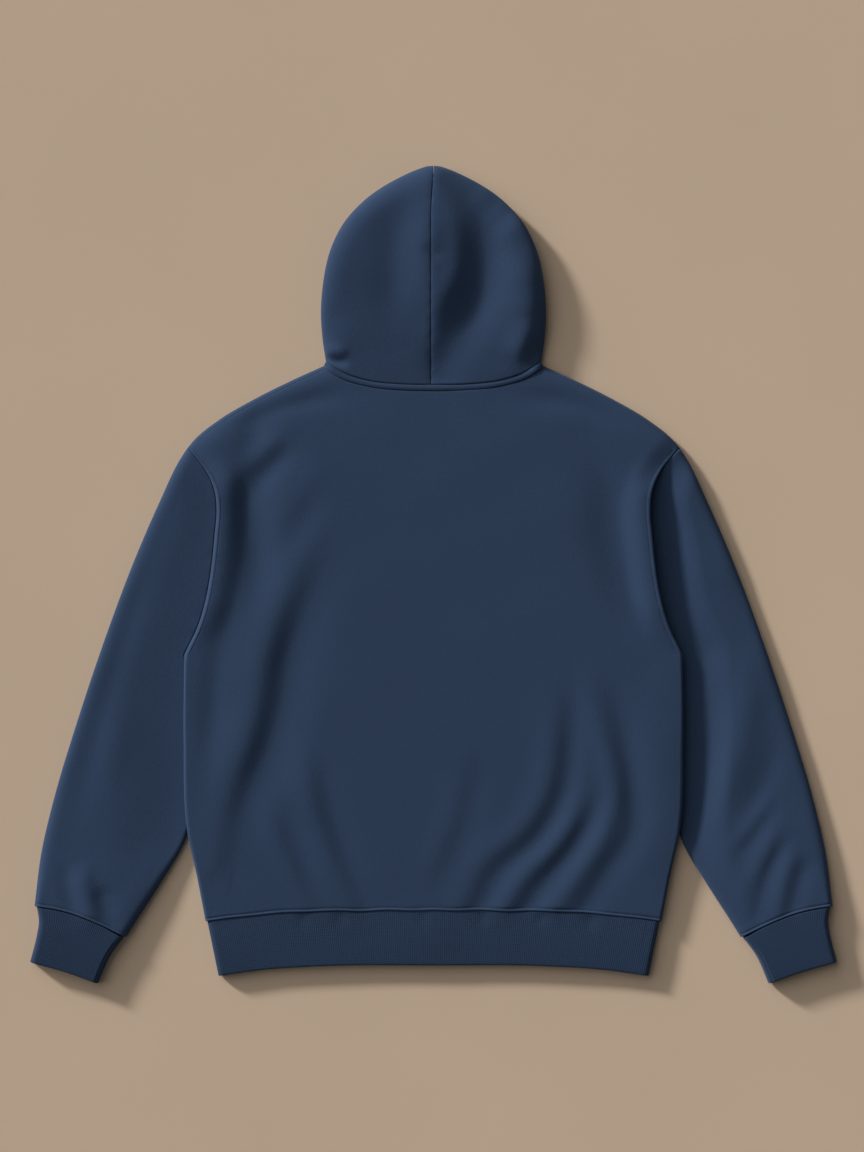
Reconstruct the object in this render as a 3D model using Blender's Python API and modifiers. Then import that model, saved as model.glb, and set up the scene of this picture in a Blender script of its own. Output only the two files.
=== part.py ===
"""Zip-up hooded sweatshirt laid flat, back side up: its cut pieces as thin cloth walls.

Plan sizes are in millimetres, x to the right, y towards the hood, z up from the floor.
"""
import math
from collections import namedtuple

import bmesh
import bpy
import numpy as np

MM = 0.001

# Cloth and seams
CLOTH_WALL = 2.4
RIB_WALL = 2.6
SEAM_GAP = 0.4
LAYER_GAP = 0.6

# How the cloth turns over at the outline
BODY_TURN = 24.0
BAND_TURN = 15.0
HOOD_TURN = 44.0
UNDER_TURN = 6.0
HOOD_UNDER_TURN = 12.0
EDGE_STEPS = (26.0, 14.0, 6.0, 1.6)
UNDER_STEPS = (6.0, 1.6)
BACK_STEPS = (26.0, 14.0, 6.0, 1.8, 0.7)
FRONT_STEPS = (34.0, 20.0, 6.0, 1.8, 0.7)
RIM_RISE = 2.0
RIM_GAP = 0.6

# Zip, along the middle of the fronts
ZIP_HALF_OPENING = 6.5
ZIP_TOP = 158.0
ZIP_BOTTOM = -454.0
TAPE_INNER_EDGE = 2.9
TAPE_OUTER_EDGE = 14.0
TAPE_FLOOR = 2.95
TAPE_THICKNESS = 0.8
TEETH_HALF_WIDTH = 2.6
TEETH_FLOOR = 2.35
TEETH_THICKNESS = 2.0
TEETH_TOP = 149.4
PIN_BOX_LENGTH = 8.0
PIN_BOX_FLOOR = 1.6
PIN_BOX_THICKNESS = 3.4
SLIDER_HALF_WIDTH = 4.6
SLIDER_BOTTOM = 142.0
SLIDER_TOP = 154.0
SLIDER_PLATE = 0.9
SLIDER_CLEARANCE = 0.3
POST_HALF_WIDTH = 1.2
POST_BOTTOM = 150.0
PULL_AXIS_Y = 149.5
PULL_AXIS_Z = 0.6
PULL_LENGTH = 27.0
PULL_HALF_WIDTH = 3.2
PULL_HALF_THICKNESS = 0.4
PULL_CORNER = 2.4
LUG_INNER = 3.5
LUG_HALF_LENGTH = 1.5
LUG_FLOOR = 0.15

# Rows along the armhole, and the share of the sleeve's outer edge level with the underarm
ARMHOLE_ROWS = (0.0, 0.05, 0.12, 0.22, 0.34, 0.47, 0.6, 0.73, 0.85, 0.94, 1.0)
UNDERARM_ROW_SHARE = 0.405
SLOPE_STEP = 0.01

# Lines of the laid garment, right half: rows of x, y
SHOULDER = ((128.7, 244.5), (165, 228), (211, 205), (251, 181.5), (280, 158), (287.8, 148.6))
ARMHOLE = ((287.8, 148.6), (281, 141), (266, 122), (256, 99), (253.5, 72), (255.5, 50),
           (258, 23), (261.5, -4), (267, -32), (276, -61), (287, -84), (291.3, -93))
SIDE = ((291.3, -93), (292, -193), (288, -298), (276, -357), (266.8, -405))
HEM_SEAM = ((0, -392), (146, -393), (210, -398.5), (266.8, -405))
HEM_SIDE = ((264.8, -405), (258.5, -436), (251.8, -468.7))
HEM_EDGE = ((0, -456), (130, -457), (200, -461.5), (251.8, -468.7))
BACK_NECK = ((0, 215), (40, 216), (76, 220), (112, 231.5), (128.7, 244.5))
HOOD_NECK = ((0, 222), (40, 223), (75.6, 227), (110, 239), (126, 250))
FRONT_NECK = ((ZIP_HALF_OPENING, 160), (35, 167), (75, 184), (112, 214), (128.7, 244.5))
HOOD_OUTLINE = ((126, 250), (129, 269), (131.6, 304), (129.3, 339), (120, 381), (106, 409.5),
                (81, 437.5), (37, 465.7), (18, 474), (6, 477.6), (0, 478))
HOOD_FRONT_EDGE = ((ZIP_HALF_OPENING, 160), (38, 205), (60, 250), (66, 300), (58, 355),
                   (36, 402), (0, 426))
HOOD_UNDER_SEAM = ((0, 478), (0, 426))
SLEEVE_OUTER = ((287.8, 148.6), (297, 134.6), (319.5, 88), (350, 17.5), (385, -76), (416.5, -170),
                (444.5, -263), (459, -325), (466.8, -387))
SLEEVE_INNER = ((291.7, -93.3), (293.2, -118), (284, -160), (277.5, -215), (281, -270), (291, -311),
                (317, -357), (347, -404), (359.2, -423.5))
CUFF_SEAM = ((466.8, -387), (452, -389), (429, -393.7), (405, -402), (386.5, -410), (359.2, -423.5))
CUFF_TOP = ((464, -388), (452, -389.6), (429, -394.3), (405, -402.6), (386.5, -410.6),
            (362.2, -424))
CUFF_OUTER = ((464, -388), (461.6, -404), (464.3, -422.4), (471.9, -452))
CUFF_INNER = ((362.2, -424), (377.3, -444.6), (392, -477.4))
CUFF_EDGE = ((471.9, -452), (429, -464), (392, -477.4))

# Height of the top face above the floor, well inside the outline: rows of y, height
BODY_HEIGHT = ((-405, 10.8), (-365, 14.5), (-250, 17.5), (0, 18.5), (150, 16.5), (215, 14.5))
SLEEVE_HEIGHT = ((-424, 10.8), (-370, 14.5), (-250, 16.5), (0, 16), (150, 15))
HOOD_HEIGHT = ((222, 15.5), (248, 23), (300, 30), (360, 32), (430, 30), (478, 28))
BAND_HEIGHT = 10.4
NECK_BAND_HEIGHT = 16.4
ARMHOLE_HEIGHT = 14.2

# Height of the line where top and underside meet at the outline: rows of y, height
SLEEVE_INNER_RIM = ((-424, 4.6), (-330, 4.2), (-125, 3.6), (-93, 5.4))
HOOD_RIM = ((222, 5.2), (252, 5.6), (300, 10.5), (478, 11))
RIM_HEIGHT = 5.0
BAND_RIM = 4.8

# The underarm edge of each sleeve lies pressed under the side of the body: rows of y, width
PRESSED_WIDTH = ((-424, 0), (-345, 0), (-290, 14), (-215, 19), (-150, 15), (-118, 6), (-93, 0))
PRESSED_HEIGHT = 7.0
PRESSED_RISE = 30.0
SIDE_LIFT = 7.7
SIDE_RIM_LIFT = 6.2
SIDE_LIFT_START = 246.0
SIDE_LIFT_END = 271.0
SIDE_LIFT_SHARE = ((-338, 0), (-302, 1), (-124, 1), (-90, 0))

# Largest folds: each runs start - bend - end, rises (or sinks) by `rise` over a reach of `reach`
Fold = namedtuple("Fold", "start_x start_y bend_x bend_y end_x end_y rise reach")
BODY_FOLDS = (
    Fold(-232, 111, -231, 40, -226, -29, -3.5, 13),
    Fold(-238, 172, -165, 202, -92, 212, -2.0, 13),
    Fold(78, 208, 160, 202, 253, 167, -2.2, 13),
    Fold(-162, 164, -185, 140, -209, 117, -2.5, 18),
    Fold(-98, 146, -130, 92, -168, 41, -2.5, 22),
    Fold(-150, -18, -196, -130, -236, -298, -6.0, 16),
    Fold(-221, -88, -228, -140, -240, -200, 3.5, 16),
    Fold(-133, -88, -166, -230, -121, -380, 4.5, 22),
    Fold(-135, -216, -124, -310, -98, -388, -4.0, 13),
    Fold(-211, -263, -203, -322, -156, -388, 4.0, 14),
    Fold(-185, -298, -160, -350, -144, -388, -3.5, 10),
    Fold(8, -287, -8, -336, -27, -388, 3.0, 18),
    Fold(60, -76, 46, -216, -4, -368, -3.2, 12),
    Fold(142, 18, 156, -120, 130, -240, -3.0, 18),
    Fold(130, -240, 104, -310, 49, -388, -5.0, 14),
    Fold(82, -255, 56, -320, 25, -384, 4.0, 18),
    Fold(168, -240, 136, -300, 78, -388, 4.2, 14),
    Fold(183, -263, 164, -322, 119, -388, -4.2, 11),
    Fold(201, -251, 186, -322, 148, -388, 4.2, 11),
    Fold(195, -146, 236, -280, 183, -390, -5.0, 13),
    Fold(166, 88, 192, 6, 218, -64, -2.5, 24),
)
SLEEVE_LEFT_FOLDS = (
    Fold(-326, 18, -390, -170, -428, -322, -2.6, 15),
    Fold(-408, -352, -412, -375, -417, -398, 2.2, 9),
    Fold(-393, -372, -400, -386, -408, -402, -2.2, 8),
    Fold(-300, -300, -328, -352, -356, -398, 2.2, 13),
)
SLEEVE_RIGHT_FOLDS = (
    Fold(374, -119, 360, -200, 308, -287, 3.5, 15),
    Fold(386, -123, 376, -205, 323, -278, -3.0, 11),
    Fold(378, -267, 358, -298, 335, -325, -3.0, 11),
    Fold(386, -342, 379, -368, 370, -398, -2.6, 9),
    Fold(402, -349, 397, -370, 390, -392, 2.4, 9),
    Fold(429, -333, 421, -362, 414, -392, -2.6, 9),
)
HOOD_FOLDS = (
    Fold(-16, 450, -27, 380, -22, 292, 2.5, 13),
    Fold(-57, 415, -61, 383, -63, 351, -2.5, 17),
    Fold(19, 456, 62, 360, 15, 263, -4.0, 13),
    Fold(95, 392, 74, 330, 31, 248, 3.0, 17),
    Fold(-124, 254, -113, 254, -102, 258, -2.6, 7),
    Fold(124, 254, 115, 254, 106, 258, -2.6, 7),
)
HOOD_SEAM_DIP = 1.2
HOOD_SEAM_REACH = 5.0
HOOD_TIP_GAP = 0.25
FOLD_FADE = 16.0

NAVY = (0.022, 0.040, 0.078)
NAVY_RIB = (0.018, 0.033, 0.066)
METAL = (0.42, 0.43, 0.45)


# ---------------------------------------------------------------- lines and heights
def line(rows, shares):
    """Points at the given shares of length on a smooth cubic line through the rows."""
    points = np.array(rows, float)
    steps = np.linalg.norm(np.diff(points, axis=0), axis=1)
    knots = np.concatenate(([0.0], np.cumsum(steps))) / steps.sum()
    slopes = np.gradient(points, knots, axis=0)
    shares = np.clip(np.asarray(shares, float), 0.0, 1.0)
    span = np.clip(np.searchsorted(knots, shares, "right") - 1, 0, len(knots) - 2)
    width = (knots[span + 1] - knots[span])[:, None]
    t = (shares - knots[span])[:, None] / width
    rest = 1.0 - t
    return ((1 + 2 * t) * rest**2 * points[span] + t * rest**2 * width * slopes[span]
            + t**2 * (3 - 2 * t) * points[span + 1] - t**2 * rest * width * slopes[span + 1])


def length(rows):
    return float(np.linalg.norm(np.diff(np.array(rows, float), axis=0), axis=1).sum())


def table(rows, at):
    """Value read from rows of (place, value), straight between rows."""
    places, values = zip(*sorted(rows))
    return np.interp(at, places, values)


def ease(share):
    """Smooth step from 0 to 1."""
    share = np.clip(share, 0.0, 1.0)
    return share * share * (3 - 2 * share)


def turn(distance, reach):
    """Quarter-ellipse rise from 0 at the outline to 1 at `reach` inside it."""
    share = np.clip(distance / reach, 0.0, 1.0)
    return np.sqrt(1 - (1 - share) ** 2)


def distance_to(points, rows, samples=120):
    """Shortest distance in plan from each point to a line."""
    on_line = line(rows, np.linspace(0, 1, samples))
    start, run = on_line[:-1], np.diff(on_line, axis=0)
    offset = points[..., None, :] - start
    share = np.clip((offset * run).sum(-1) / (run * run).sum(-1), 0, 1)
    return np.linalg.norm(offset - share[..., None] * run, axis=-1).min(-1)


def fold_height(points, folds):
    """Sum of soft ridges and troughs, each fading at both its ends."""
    total = np.zeros(points.shape[:-1])
    for fold in folds:
        a, b, c = (np.array(p, float) for p in (fold[0:2], fold[2:4], fold[4:6]))
        t = np.linspace(0, 1, 25)[:, None]
        control = 2 * b - (a + c) / 2
        path = (1 - t) ** 2 * a + 2 * t * (1 - t) * control + t**2 * c
        away = np.linalg.norm(points[..., None, :] - path, axis=-1) / fold.reach
        fade = 0.55 + 0.45 * np.sin(math.pi * t[:, 0])
        total += fold.rise * (fade * np.exp(-(away**2))).max(-1)
    return total


def both_sides(points):
    """Plan points folded onto the right half."""
    return np.stack((np.abs(points[..., 0]), points[..., 1]), axis=-1)


def smooth(rows):
    """An edge: a function from shares of its length to points."""
    return lambda shares: line(rows, shares)


def corner_shares(parts):
    """Shares of the whole length at which each part starts and the last one ends."""
    return np.concatenate(([0.0], np.cumsum([length(part) for part in parts]))) / sum(map(length, parts))


def joined(parts):
    """One edge of several smooth lines, with corners between them."""
    corners = corner_shares(parts)

    def edge(shares):
        shares = np.asarray(shares, float)
        points = np.empty(shares.shape + (2,))
        for part, start, end in zip(parts, corners[:-1], corners[1:]):
            inside = (shares >= start) & (shares <= end)
            points[inside] = line(part, (shares[inside] - start) / (end - start))
        return points

    return edge


def patch(first_row, last_row, first_column, last_column, across, along):
    """Coons patch in plan between four edges, at shares `across` and `along`."""
    ends = np.array((0.0, 1.0))
    corner = np.concatenate((first_row(ends), last_row(ends)))
    u, v = across[None, :, None], along[:, None, None]
    corners = ((1 - u) * (1 - v) * corner[0] + u * (1 - v) * corner[1]
               + (1 - u) * v * corner[2] + u * v * corner[3])
    return ((1 - v) * first_row(across)[None] + v * last_row(across)[None]
            + (1 - u) * first_column(along)[:, None] + u * last_column(along)[:, None] - corners)


def fan(first_column, last_column, last_row, across, along):
    """Rows between two edges that start at one point, the last rows bending into `last_row`."""
    ends = last_row(np.array((0.0, 1.0)))
    u, v = across[None, :, None], along[:, None, None]
    bend = last_row(across)[None] - (1 - u) * ends[0] - u * ends[1]
    return (1 - u) * first_column[:, None] + u * last_column[:, None] + v * bend


def body_rows(shoulder=6, side=12):
    """Shares along the body's edge, with rows at its corners and the sleeve's own rows on the armhole.

    Also says which rows end on the outline, where the back and the fronts are sewn edge to edge.
    """
    corner = corner_shares((SHOULDER, ARMHOLE, SIDE))
    armhole = corner[1] + np.array(ARMHOLE_ROWS) * (corner[2] - corner[1])
    shares = np.concatenate((np.linspace(0, corner[1], shoulder + 1)[:-1], armhole,
                             np.linspace(corner[2], 1, side + 1)[1:]))
    on_outline = (shares <= corner[1]) | (shares >= corner[2])
    return shares, on_outline


def stand_rim(grid, rows, way):
    """Stand the last strip of cloth upright on the outline: up from the rim (way 1) or down (-1)."""
    grid[rows, -2, :2] = grid[rows, -1, :2]
    grid[rows, -1, 2] = body_rim(grid[rows, -1, 1]) + way * RIM_GAP / 2
    grid[rows, -2, 2] = grid[rows, -1, 2] + way * RIM_RISE
    return grid


def inset(shares, run, first=True, last=True):
    """Shares pulled in by half a seam gap at their ends."""
    shares = np.array(shares, float)
    if first:
        shares[0] += SEAM_GAP / 2 / run
    if last:
        shares[-1] -= SEAM_GAP / 2 / run
    return shares


def side_lift(points):
    """How far the sleeve tucked below raises the side of the body."""
    plan = both_sides(points)
    across = ease((plan[..., 0] - SIDE_LIFT_START) / (SIDE_LIFT_END - SIDE_LIFT_START))
    return SIDE_LIFT * across * ease(table(SIDE_LIFT_SHARE, plan[..., 1]))


def body_rim(y):
    """Height of the side and shoulder seams, raised with the side of the body."""
    return RIM_HEIGHT + SIDE_RIM_LIFT * ease(table(SIDE_LIFT_SHARE, y))


def body_top(points):
    """Top face of the back."""
    plan = both_sides(points)
    y = plan[..., 1]
    lift = side_lift(points)
    rise = table(BODY_HEIGHT, y) + 0.2 * lift
    rise = rise + fold_height(points, BODY_FOLDS) * ease(distance_to(plan, HEM_SEAM) / FOLD_FADE)
    rise = np.maximum(rise, lift + 2 * CLOTH_WALL + LAYER_GAP + 1.5)
    rise = ARMHOLE_HEIGHT + (rise - ARMHOLE_HEIGHT) * ease(distance_to(plan, ARMHOLE) / 26)
    rim = body_rim(y)
    edge = np.minimum(distance_to(plan, SHOULDER + SLEEVE_OUTER[1:]), distance_to(plan, SIDE))
    reach = BAND_TURN + (BODY_TURN - BAND_TURN) * ease((y + 400) / 60)
    return rim + (rise - rim) * turn(edge, reach)


def body_underside(points):
    """Lower face of the fronts: flat on the floor, turned up at the outline."""
    plan = both_sides(points)
    rim = body_rim(plan[..., 1])
    lift = side_lift(points)
    edge = np.minimum(distance_to(plan, SHOULDER + SLEEVE_OUTER[1:]), distance_to(plan, SIDE))
    return lift + (rim - lift) * (1 - turn(edge, UNDER_TURN))


def sleeve_rims(plan):
    outer, inner = distance_to(plan, SHOULDER + SLEEVE_OUTER[1:]), distance_to(plan, SLEEVE_INNER)
    rim = np.where(outer < inner, RIM_HEIGHT, table(SLEEVE_INNER_RIM, plan[..., 1]))
    return outer, inner, rim


def sleeve_top(points, folds):
    plan = both_sides(points)
    y = plan[..., 1]
    outer, inner, rim = sleeve_rims(plan)
    rise = table(SLEEVE_HEIGHT, y)
    rise = rise + fold_height(points, folds) * ease(distance_to(plan, CUFF_SEAM) / FOLD_FADE)
    rise = ARMHOLE_HEIGHT + (rise - ARMHOLE_HEIGHT) * ease(distance_to(plan, ARMHOLE) / 26)
    pressed = table(PRESSED_WIDTH, y)
    free = ease((inner - pressed) / PRESSED_RISE)
    blend = ease(pressed / 6)
    inner_share = turn(inner, BODY_TURN) * (1 - blend) + free * blend
    low = rim + (np.minimum(PRESSED_HEIGHT, rise) - rim) * turn(inner, UNDER_TURN) * blend
    cuff_share = ease(distance_to(plan, CUFF_SEAM) / 60)
    reach = BAND_TURN + (BODY_TURN - BAND_TURN) * cuff_share
    return low + (rise - low) * turn(outer, reach) * inner_share


def sleeve_underside(points):
    outer, inner, rim = sleeve_rims(both_sides(points))
    return rim * (1 - turn(outer, UNDER_TURN) * turn(inner, UNDER_TURN))


def band_top(points, sides, height=BAND_HEIGHT):
    """Top face of a flattened ring of rib between its two folded edges."""
    plan = both_sides(points)
    share = np.min([turn(distance_to(plan, side), BAND_TURN) for side in sides], axis=0)
    return BAND_RIM + (height - BAND_RIM) * share


def band_underside(points, sides):
    plan = both_sides(points)
    share = np.min([turn(distance_to(plan, side), UNDER_TURN) for side in sides], axis=0)
    return BAND_RIM * (1 - share)


def hood_top(points):
    plan = both_sides(points)
    y = plan[..., 1]
    rise = table(HOOD_HEIGHT, y)
    rise = rise - HOOD_SEAM_DIP * np.exp(-((plan[..., 0] / HOOD_SEAM_REACH) ** 2))
    rise = rise + fold_height(points, HOOD_FOLDS) * ease(distance_to(plan, HOOD_NECK) / FOLD_FADE)
    rim = table(HOOD_RIM, y)
    return rim + (rise - rim) * turn(distance_to(plan, HOOD_OUTLINE), HOOD_TURN)


def hood_underside(points):
    plan = both_sides(points)
    rim = table(HOOD_RIM, plan[..., 1])
    reach = UNDER_TURN + (HOOD_UNDER_TURN - UNDER_TURN) * ease((plan[..., 1] - 255) / 40)
    edge = distance_to(plan, HOOD_OUTLINE)
    return rim * (1 - turn(edge, reach))


# ---------------------------------------------------------------- building
def clear_scene():
    for item in list(bpy.data.objects):
        bpy.data.objects.remove(item, do_unlink=True)


def make_material(name, colour, roughness, metallic=0.0):
    material = bpy.data.materials.new(name)
    material.use_nodes = True
    shader = material.node_tree.nodes["Principled BSDF"]
    shader.inputs["Base Color"].default_value = (*colour, 1.0)
    shader.inputs["Roughness"].default_value = roughness
    shader.inputs["Metallic"].default_value = metallic
    return material


def add_object(name, mesh, material, collection):
    mesh.materials.append(material)
    item = bpy.data.objects.new(name, mesh)
    collection.objects.link(item)
    return item


def cloth(name, grid, wall, material, collection, flip=False):
    """A wall of cloth: the grid is its outer face, and Solidify adds the thickness inwards."""
    rows, columns = grid.shape[:2]
    faces = []
    for row in range(rows - 1):
        for column in range(columns - 1):
            corner = row * columns + column
            quad = [corner, corner + 1, corner + columns + 1, corner + columns]
            faces.append(quad[::-1] if flip else quad)
    mesh = bpy.data.meshes.new(name)
    mesh.from_pydata((grid.reshape(-1, 3) * MM).tolist(), [], faces)
    work = bmesh.new()
    work.from_mesh(mesh)
    bmesh.ops.remove_doubles(work, verts=work.verts, dist=0.00001)
    work.to_mesh(mesh)
    work.free()
    mesh.shade_smooth()
    item = add_object(name, mesh, material, collection)
    solid = item.modifiers.new("Wall", "SOLIDIFY")
    solid.thickness = wall * MM
    solid.offset = -1
    return item


def lifted(plan, height):
    return np.dstack((plan, height))


def half_columns(count, run, steps=EDGE_STEPS):
    """Shares from the middle to an outline, closer together where the cloth turns over."""
    edge = [1 - step / run for step in steps]
    return np.concatenate((np.linspace(0, edge[0], count + 1), edge[1:], [1.0]))


def full_columns(count, run, steps=EDGE_STEPS):
    """Shares from one outline to the other."""
    near = np.array((0.0,) + tuple(step / run for step in steps[::-1]))
    return np.concatenate((near, np.linspace(near[-1], 1 - near[-1], count + 1)[1:-1], 1 - near[::-1]))


def make_back(material, collection):
    rows, on_outline = body_rows()
    rows = inset(rows, 610)
    half = inset(half_columns(9, 285, BACK_STEPS), 285, first=False)
    middle = smooth(((0, 215), (0, -392)))
    right = patch(smooth(BACK_NECK), smooth(HEM_SEAM), middle, joined((SHOULDER, ARMHOLE, SIDE)), half, rows)
    right = stand_rim(lifted(right, body_top(right)), on_outline, 1)
    left_plan = right[:, :0:-1, :2] * (-1, 1)
    left = lifted(left_plan, body_top(left_plan))
    left[:, :2] = right[:, :-3:-1] * (-1, 1, 1)
    grid = np.concatenate((left, right), axis=1)
    return cloth("back", grid, CLOTH_WALL, material, collection, flip=True)


def make_front(side, material, collection):
    rows, on_outline = body_rows()
    rows = inset(rows, 610)
    half = inset(half_columns(6, 280, FRONT_STEPS), 280, first=False)
    middle = smooth(((ZIP_HALF_OPENING, 160), (ZIP_HALF_OPENING, -392)))
    hem = smooth(((ZIP_HALF_OPENING, -392),) + HEM_SEAM[1:])
    plan = patch(smooth(FRONT_NECK), hem, middle, joined((SHOULDER, ARMHOLE, SIDE)), half, rows)
    grid = stand_rim(lifted(plan, body_underside(plan)), on_outline, -1)
    grid[..., 0] *= side
    return cloth("front_right" if side > 0 else "front_left", grid, CLOTH_WALL, material, collection,
                 flip=side < 0)


def ring(top_shares, under_shares):
    """Columns of a flattened tube: from the inner edge below to the outer edge, then back on top."""
    shares = np.concatenate((under_shares[::-1], top_shares[1:]))
    on_top = np.arange(len(shares)) >= len(under_shares)
    return shares, on_top


def sleeve_edges():
    """Outer edge and inner edge, row by row: the armhole down to the underarm, then the underarm fold."""
    underarm = corner_shares((ARMHOLE, SLEEVE_INNER))[1]
    upper = np.array(ARMHOLE_ROWS)
    lower = np.array((0.05, 0.13, 0.22, 0.33, 0.45, 0.57, 0.69, 0.8, 0.9, 0.96, 1.0))
    below = UNDERARM_ROW_SHARE + lower * (1 - UNDERARM_ROW_SHARE)
    along = np.concatenate((upper * UNDERARM_ROW_SHARE, below))
    along = inset(along, length(SLEEVE_OUTER))
    outer = line(SLEEVE_OUTER, along)
    slope = line(ARMHOLE, upper[:-1] + SLOPE_STEP) - line(ARMHOLE, upper[:-1] - SLOPE_STEP)
    outward = np.stack((-slope[:, 1], slope[:, 0]), axis=-1) / np.linalg.norm(slope, axis=-1)[:, None]
    fold_shares = inset(np.concatenate(([0.0], lower)), length(SLEEVE_INNER), first=False)
    on_armhole = line(ARMHOLE, upper[:-1]) + outward * SEAM_GAP / 2
    inner = np.concatenate((on_armhole, line(SLEEVE_INNER, fold_shares)))
    inner[0] = outer[0]
    return outer, inner, along


def make_sleeve(side, material, collection):
    outer, inner, along = sleeve_edges()
    shares, on_top = ring(full_columns(7, 160), full_columns(5, 160, UNDER_STEPS))
    plan = fan(outer, inner, smooth(CUFF_SEAM), shares, along) * (side, 1)
    folds = SLEEVE_RIGHT_FOLDS if side > 0 else SLEEVE_LEFT_FOLDS
    height = np.where(on_top, sleeve_top(plan, folds), sleeve_underside(plan))
    underarm_row = len(ARMHOLE_ROWS) - 1
    height[underarm_row:, -1] = height[underarm_row:, 0]
    return cloth("sleeve_right" if side > 0 else "sleeve_left", lifted(plan, height), CLOTH_WALL,
                 material, collection, flip=side < 0)


def make_cuff(side, material, collection):
    along = inset(np.linspace(0, 1, 4), 64, last=False)
    steps = (15.0, 8.0, 3.5, 1.0)
    shares, on_top = ring(full_columns(5, 100, steps), full_columns(3, 100, UNDER_STEPS))
    plan = patch(smooth(CUFF_TOP), smooth(CUFF_EDGE), smooth(CUFF_OUTER), smooth(CUFF_INNER), shares, along)
    plan = plan * (side, 1)
    sides = (CUFF_OUTER, CUFF_INNER)
    height = np.where(on_top, band_top(plan, sides), band_underside(plan, sides))
    height[:, -1] = height[:, 0]
    return cloth("cuff_right" if side > 0 else "cuff_left", lifted(plan, height), RIB_WALL,
                 material, collection, flip=side < 0)


def make_hem(material, collection):
    """One band all round, open where the zip closes the fronts."""
    along = inset(np.linspace(0, 1, 4), 64, last=False)
    steps = (15.0, 8.0, 3.5, 1.0)
    top_half = half_columns(6, 258, steps)
    under_half = half_columns(5, 258, UNDER_STEPS)[::-1]
    under_half[-1] = ZIP_HALF_OPENING / 258
    shares = np.concatenate((top_half, under_half[1:]))
    on_top = np.arange(len(shares)) < len(top_half)
    seam = smooth(HEM_SEAM[:3] + HEM_SIDE[:1])
    right = patch(seam, smooth(HEM_EDGE), smooth(((0, -392), (0, -456))), smooth(HEM_SIDE), shares, along)
    sides = (HEM_SIDE,)
    height = np.where(on_top, band_top(right, sides), band_underside(right, sides))
    right = lifted(right, height)
    left = right[:, :0:-1] * (-1, 1, 1)
    return cloth("hem_band", np.concatenate((left, right), axis=1), RIB_WALL, material, collection,
                 flip=True)


def make_hood(side, material, collection):
    """From the middle seam on top, over the outline, to the front edge below."""
    along = inset(np.concatenate((np.linspace(0, 0.12, 3)[:-1], np.linspace(0.12, 0.9, 9),
                                  np.linspace(0.9, 1, 3)[1:])), 250, last=False)
    top_share = half_columns(5, 120, (30.0, 16.0, 7.0, 2.0))
    under_share = np.array((0.0, 0.03, 0.09, 0.2, 0.45, 0.72, 1.0))
    outline = line(HOOD_OUTLINE, along)
    top = fan(line(((0, 478), (0, 222)), 1 - along), outline, smooth(HOOD_NECK), top_share, 1 - along)
    neck = smooth(((126, 250), (112, 216), (75, 185.5), (35, 168), (ZIP_HALF_OPENING, 160.5)))
    under = patch(neck, smooth(HOOD_UNDER_SEAM), smooth(HOOD_OUTLINE), smooth(HOOD_FRONT_EDGE),
                  under_share, along)
    plan = np.concatenate((top, under[:, 1:]), axis=1)
    seam_side = SEAM_GAP / 2 + HOOD_TIP_GAP * ease((plan[..., 1] - 455) / 15)
    plan[..., 0] = np.maximum(plan[..., 0], seam_side) * side
    on_top = np.arange(plan.shape[1]) < len(top_share)
    height = np.where(on_top, hood_top(plan), hood_underside(plan))
    return cloth("hood_right" if side > 0 else "hood_left", lifted(plan, height), CLOTH_WALL,
                 material, collection, flip=side < 0)


def make_neck_band(material, collection):
    """Narrow strip over the seam between the hood and the back."""
    along = inset(np.linspace(0, 1, 3), 7)
    half = np.linspace(0, 0.94, 10)
    right = patch(smooth(HOOD_NECK), smooth(BACK_NECK), smooth(((0, 222), (0, 215))),
                  smooth(((126, 250), (128.7, 244.5))), half, along)
    plan = np.concatenate((right[:, :0:-1] * (-1, 1), right), axis=1)
    edge = distance_to(both_sides(plan), SHOULDER + SLEEVE_OUTER[1:])
    edge = np.minimum(edge, distance_to(both_sides(plan), HOOD_OUTLINE))
    height = RIM_HEIGHT + (NECK_BAND_HEIGHT - RIM_HEIGHT) * turn(edge, BODY_TURN)
    return cloth("neck_band", lifted(plan, height), CLOTH_WALL, material, collection, flip=True)


def block(name, low, high, material, collection):
    """A plain box between two corners."""
    mesh = bpy.data.meshes.new(name)
    work = bmesh.new()
    bmesh.ops.create_cube(work, size=1.0)
    low, high = np.array(low, float), np.array(high, float)
    for vertex in work.verts:
        vertex.co = ((low + high) / 2 + np.array(vertex.co) * (high - low)) * MM
    work.to_mesh(mesh)
    work.free()
    return add_object(name, mesh, material, collection)


def united(item, others):
    """Join boxes into one body; the boxes stay as hidden tools."""
    for other in others:
        other.hide_render = True
        other.display_type = "WIRE"
        join = item.modifiers.new("Join", "BOOLEAN")
        join.operation = "UNION"
        join.object = other
    return item


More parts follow.
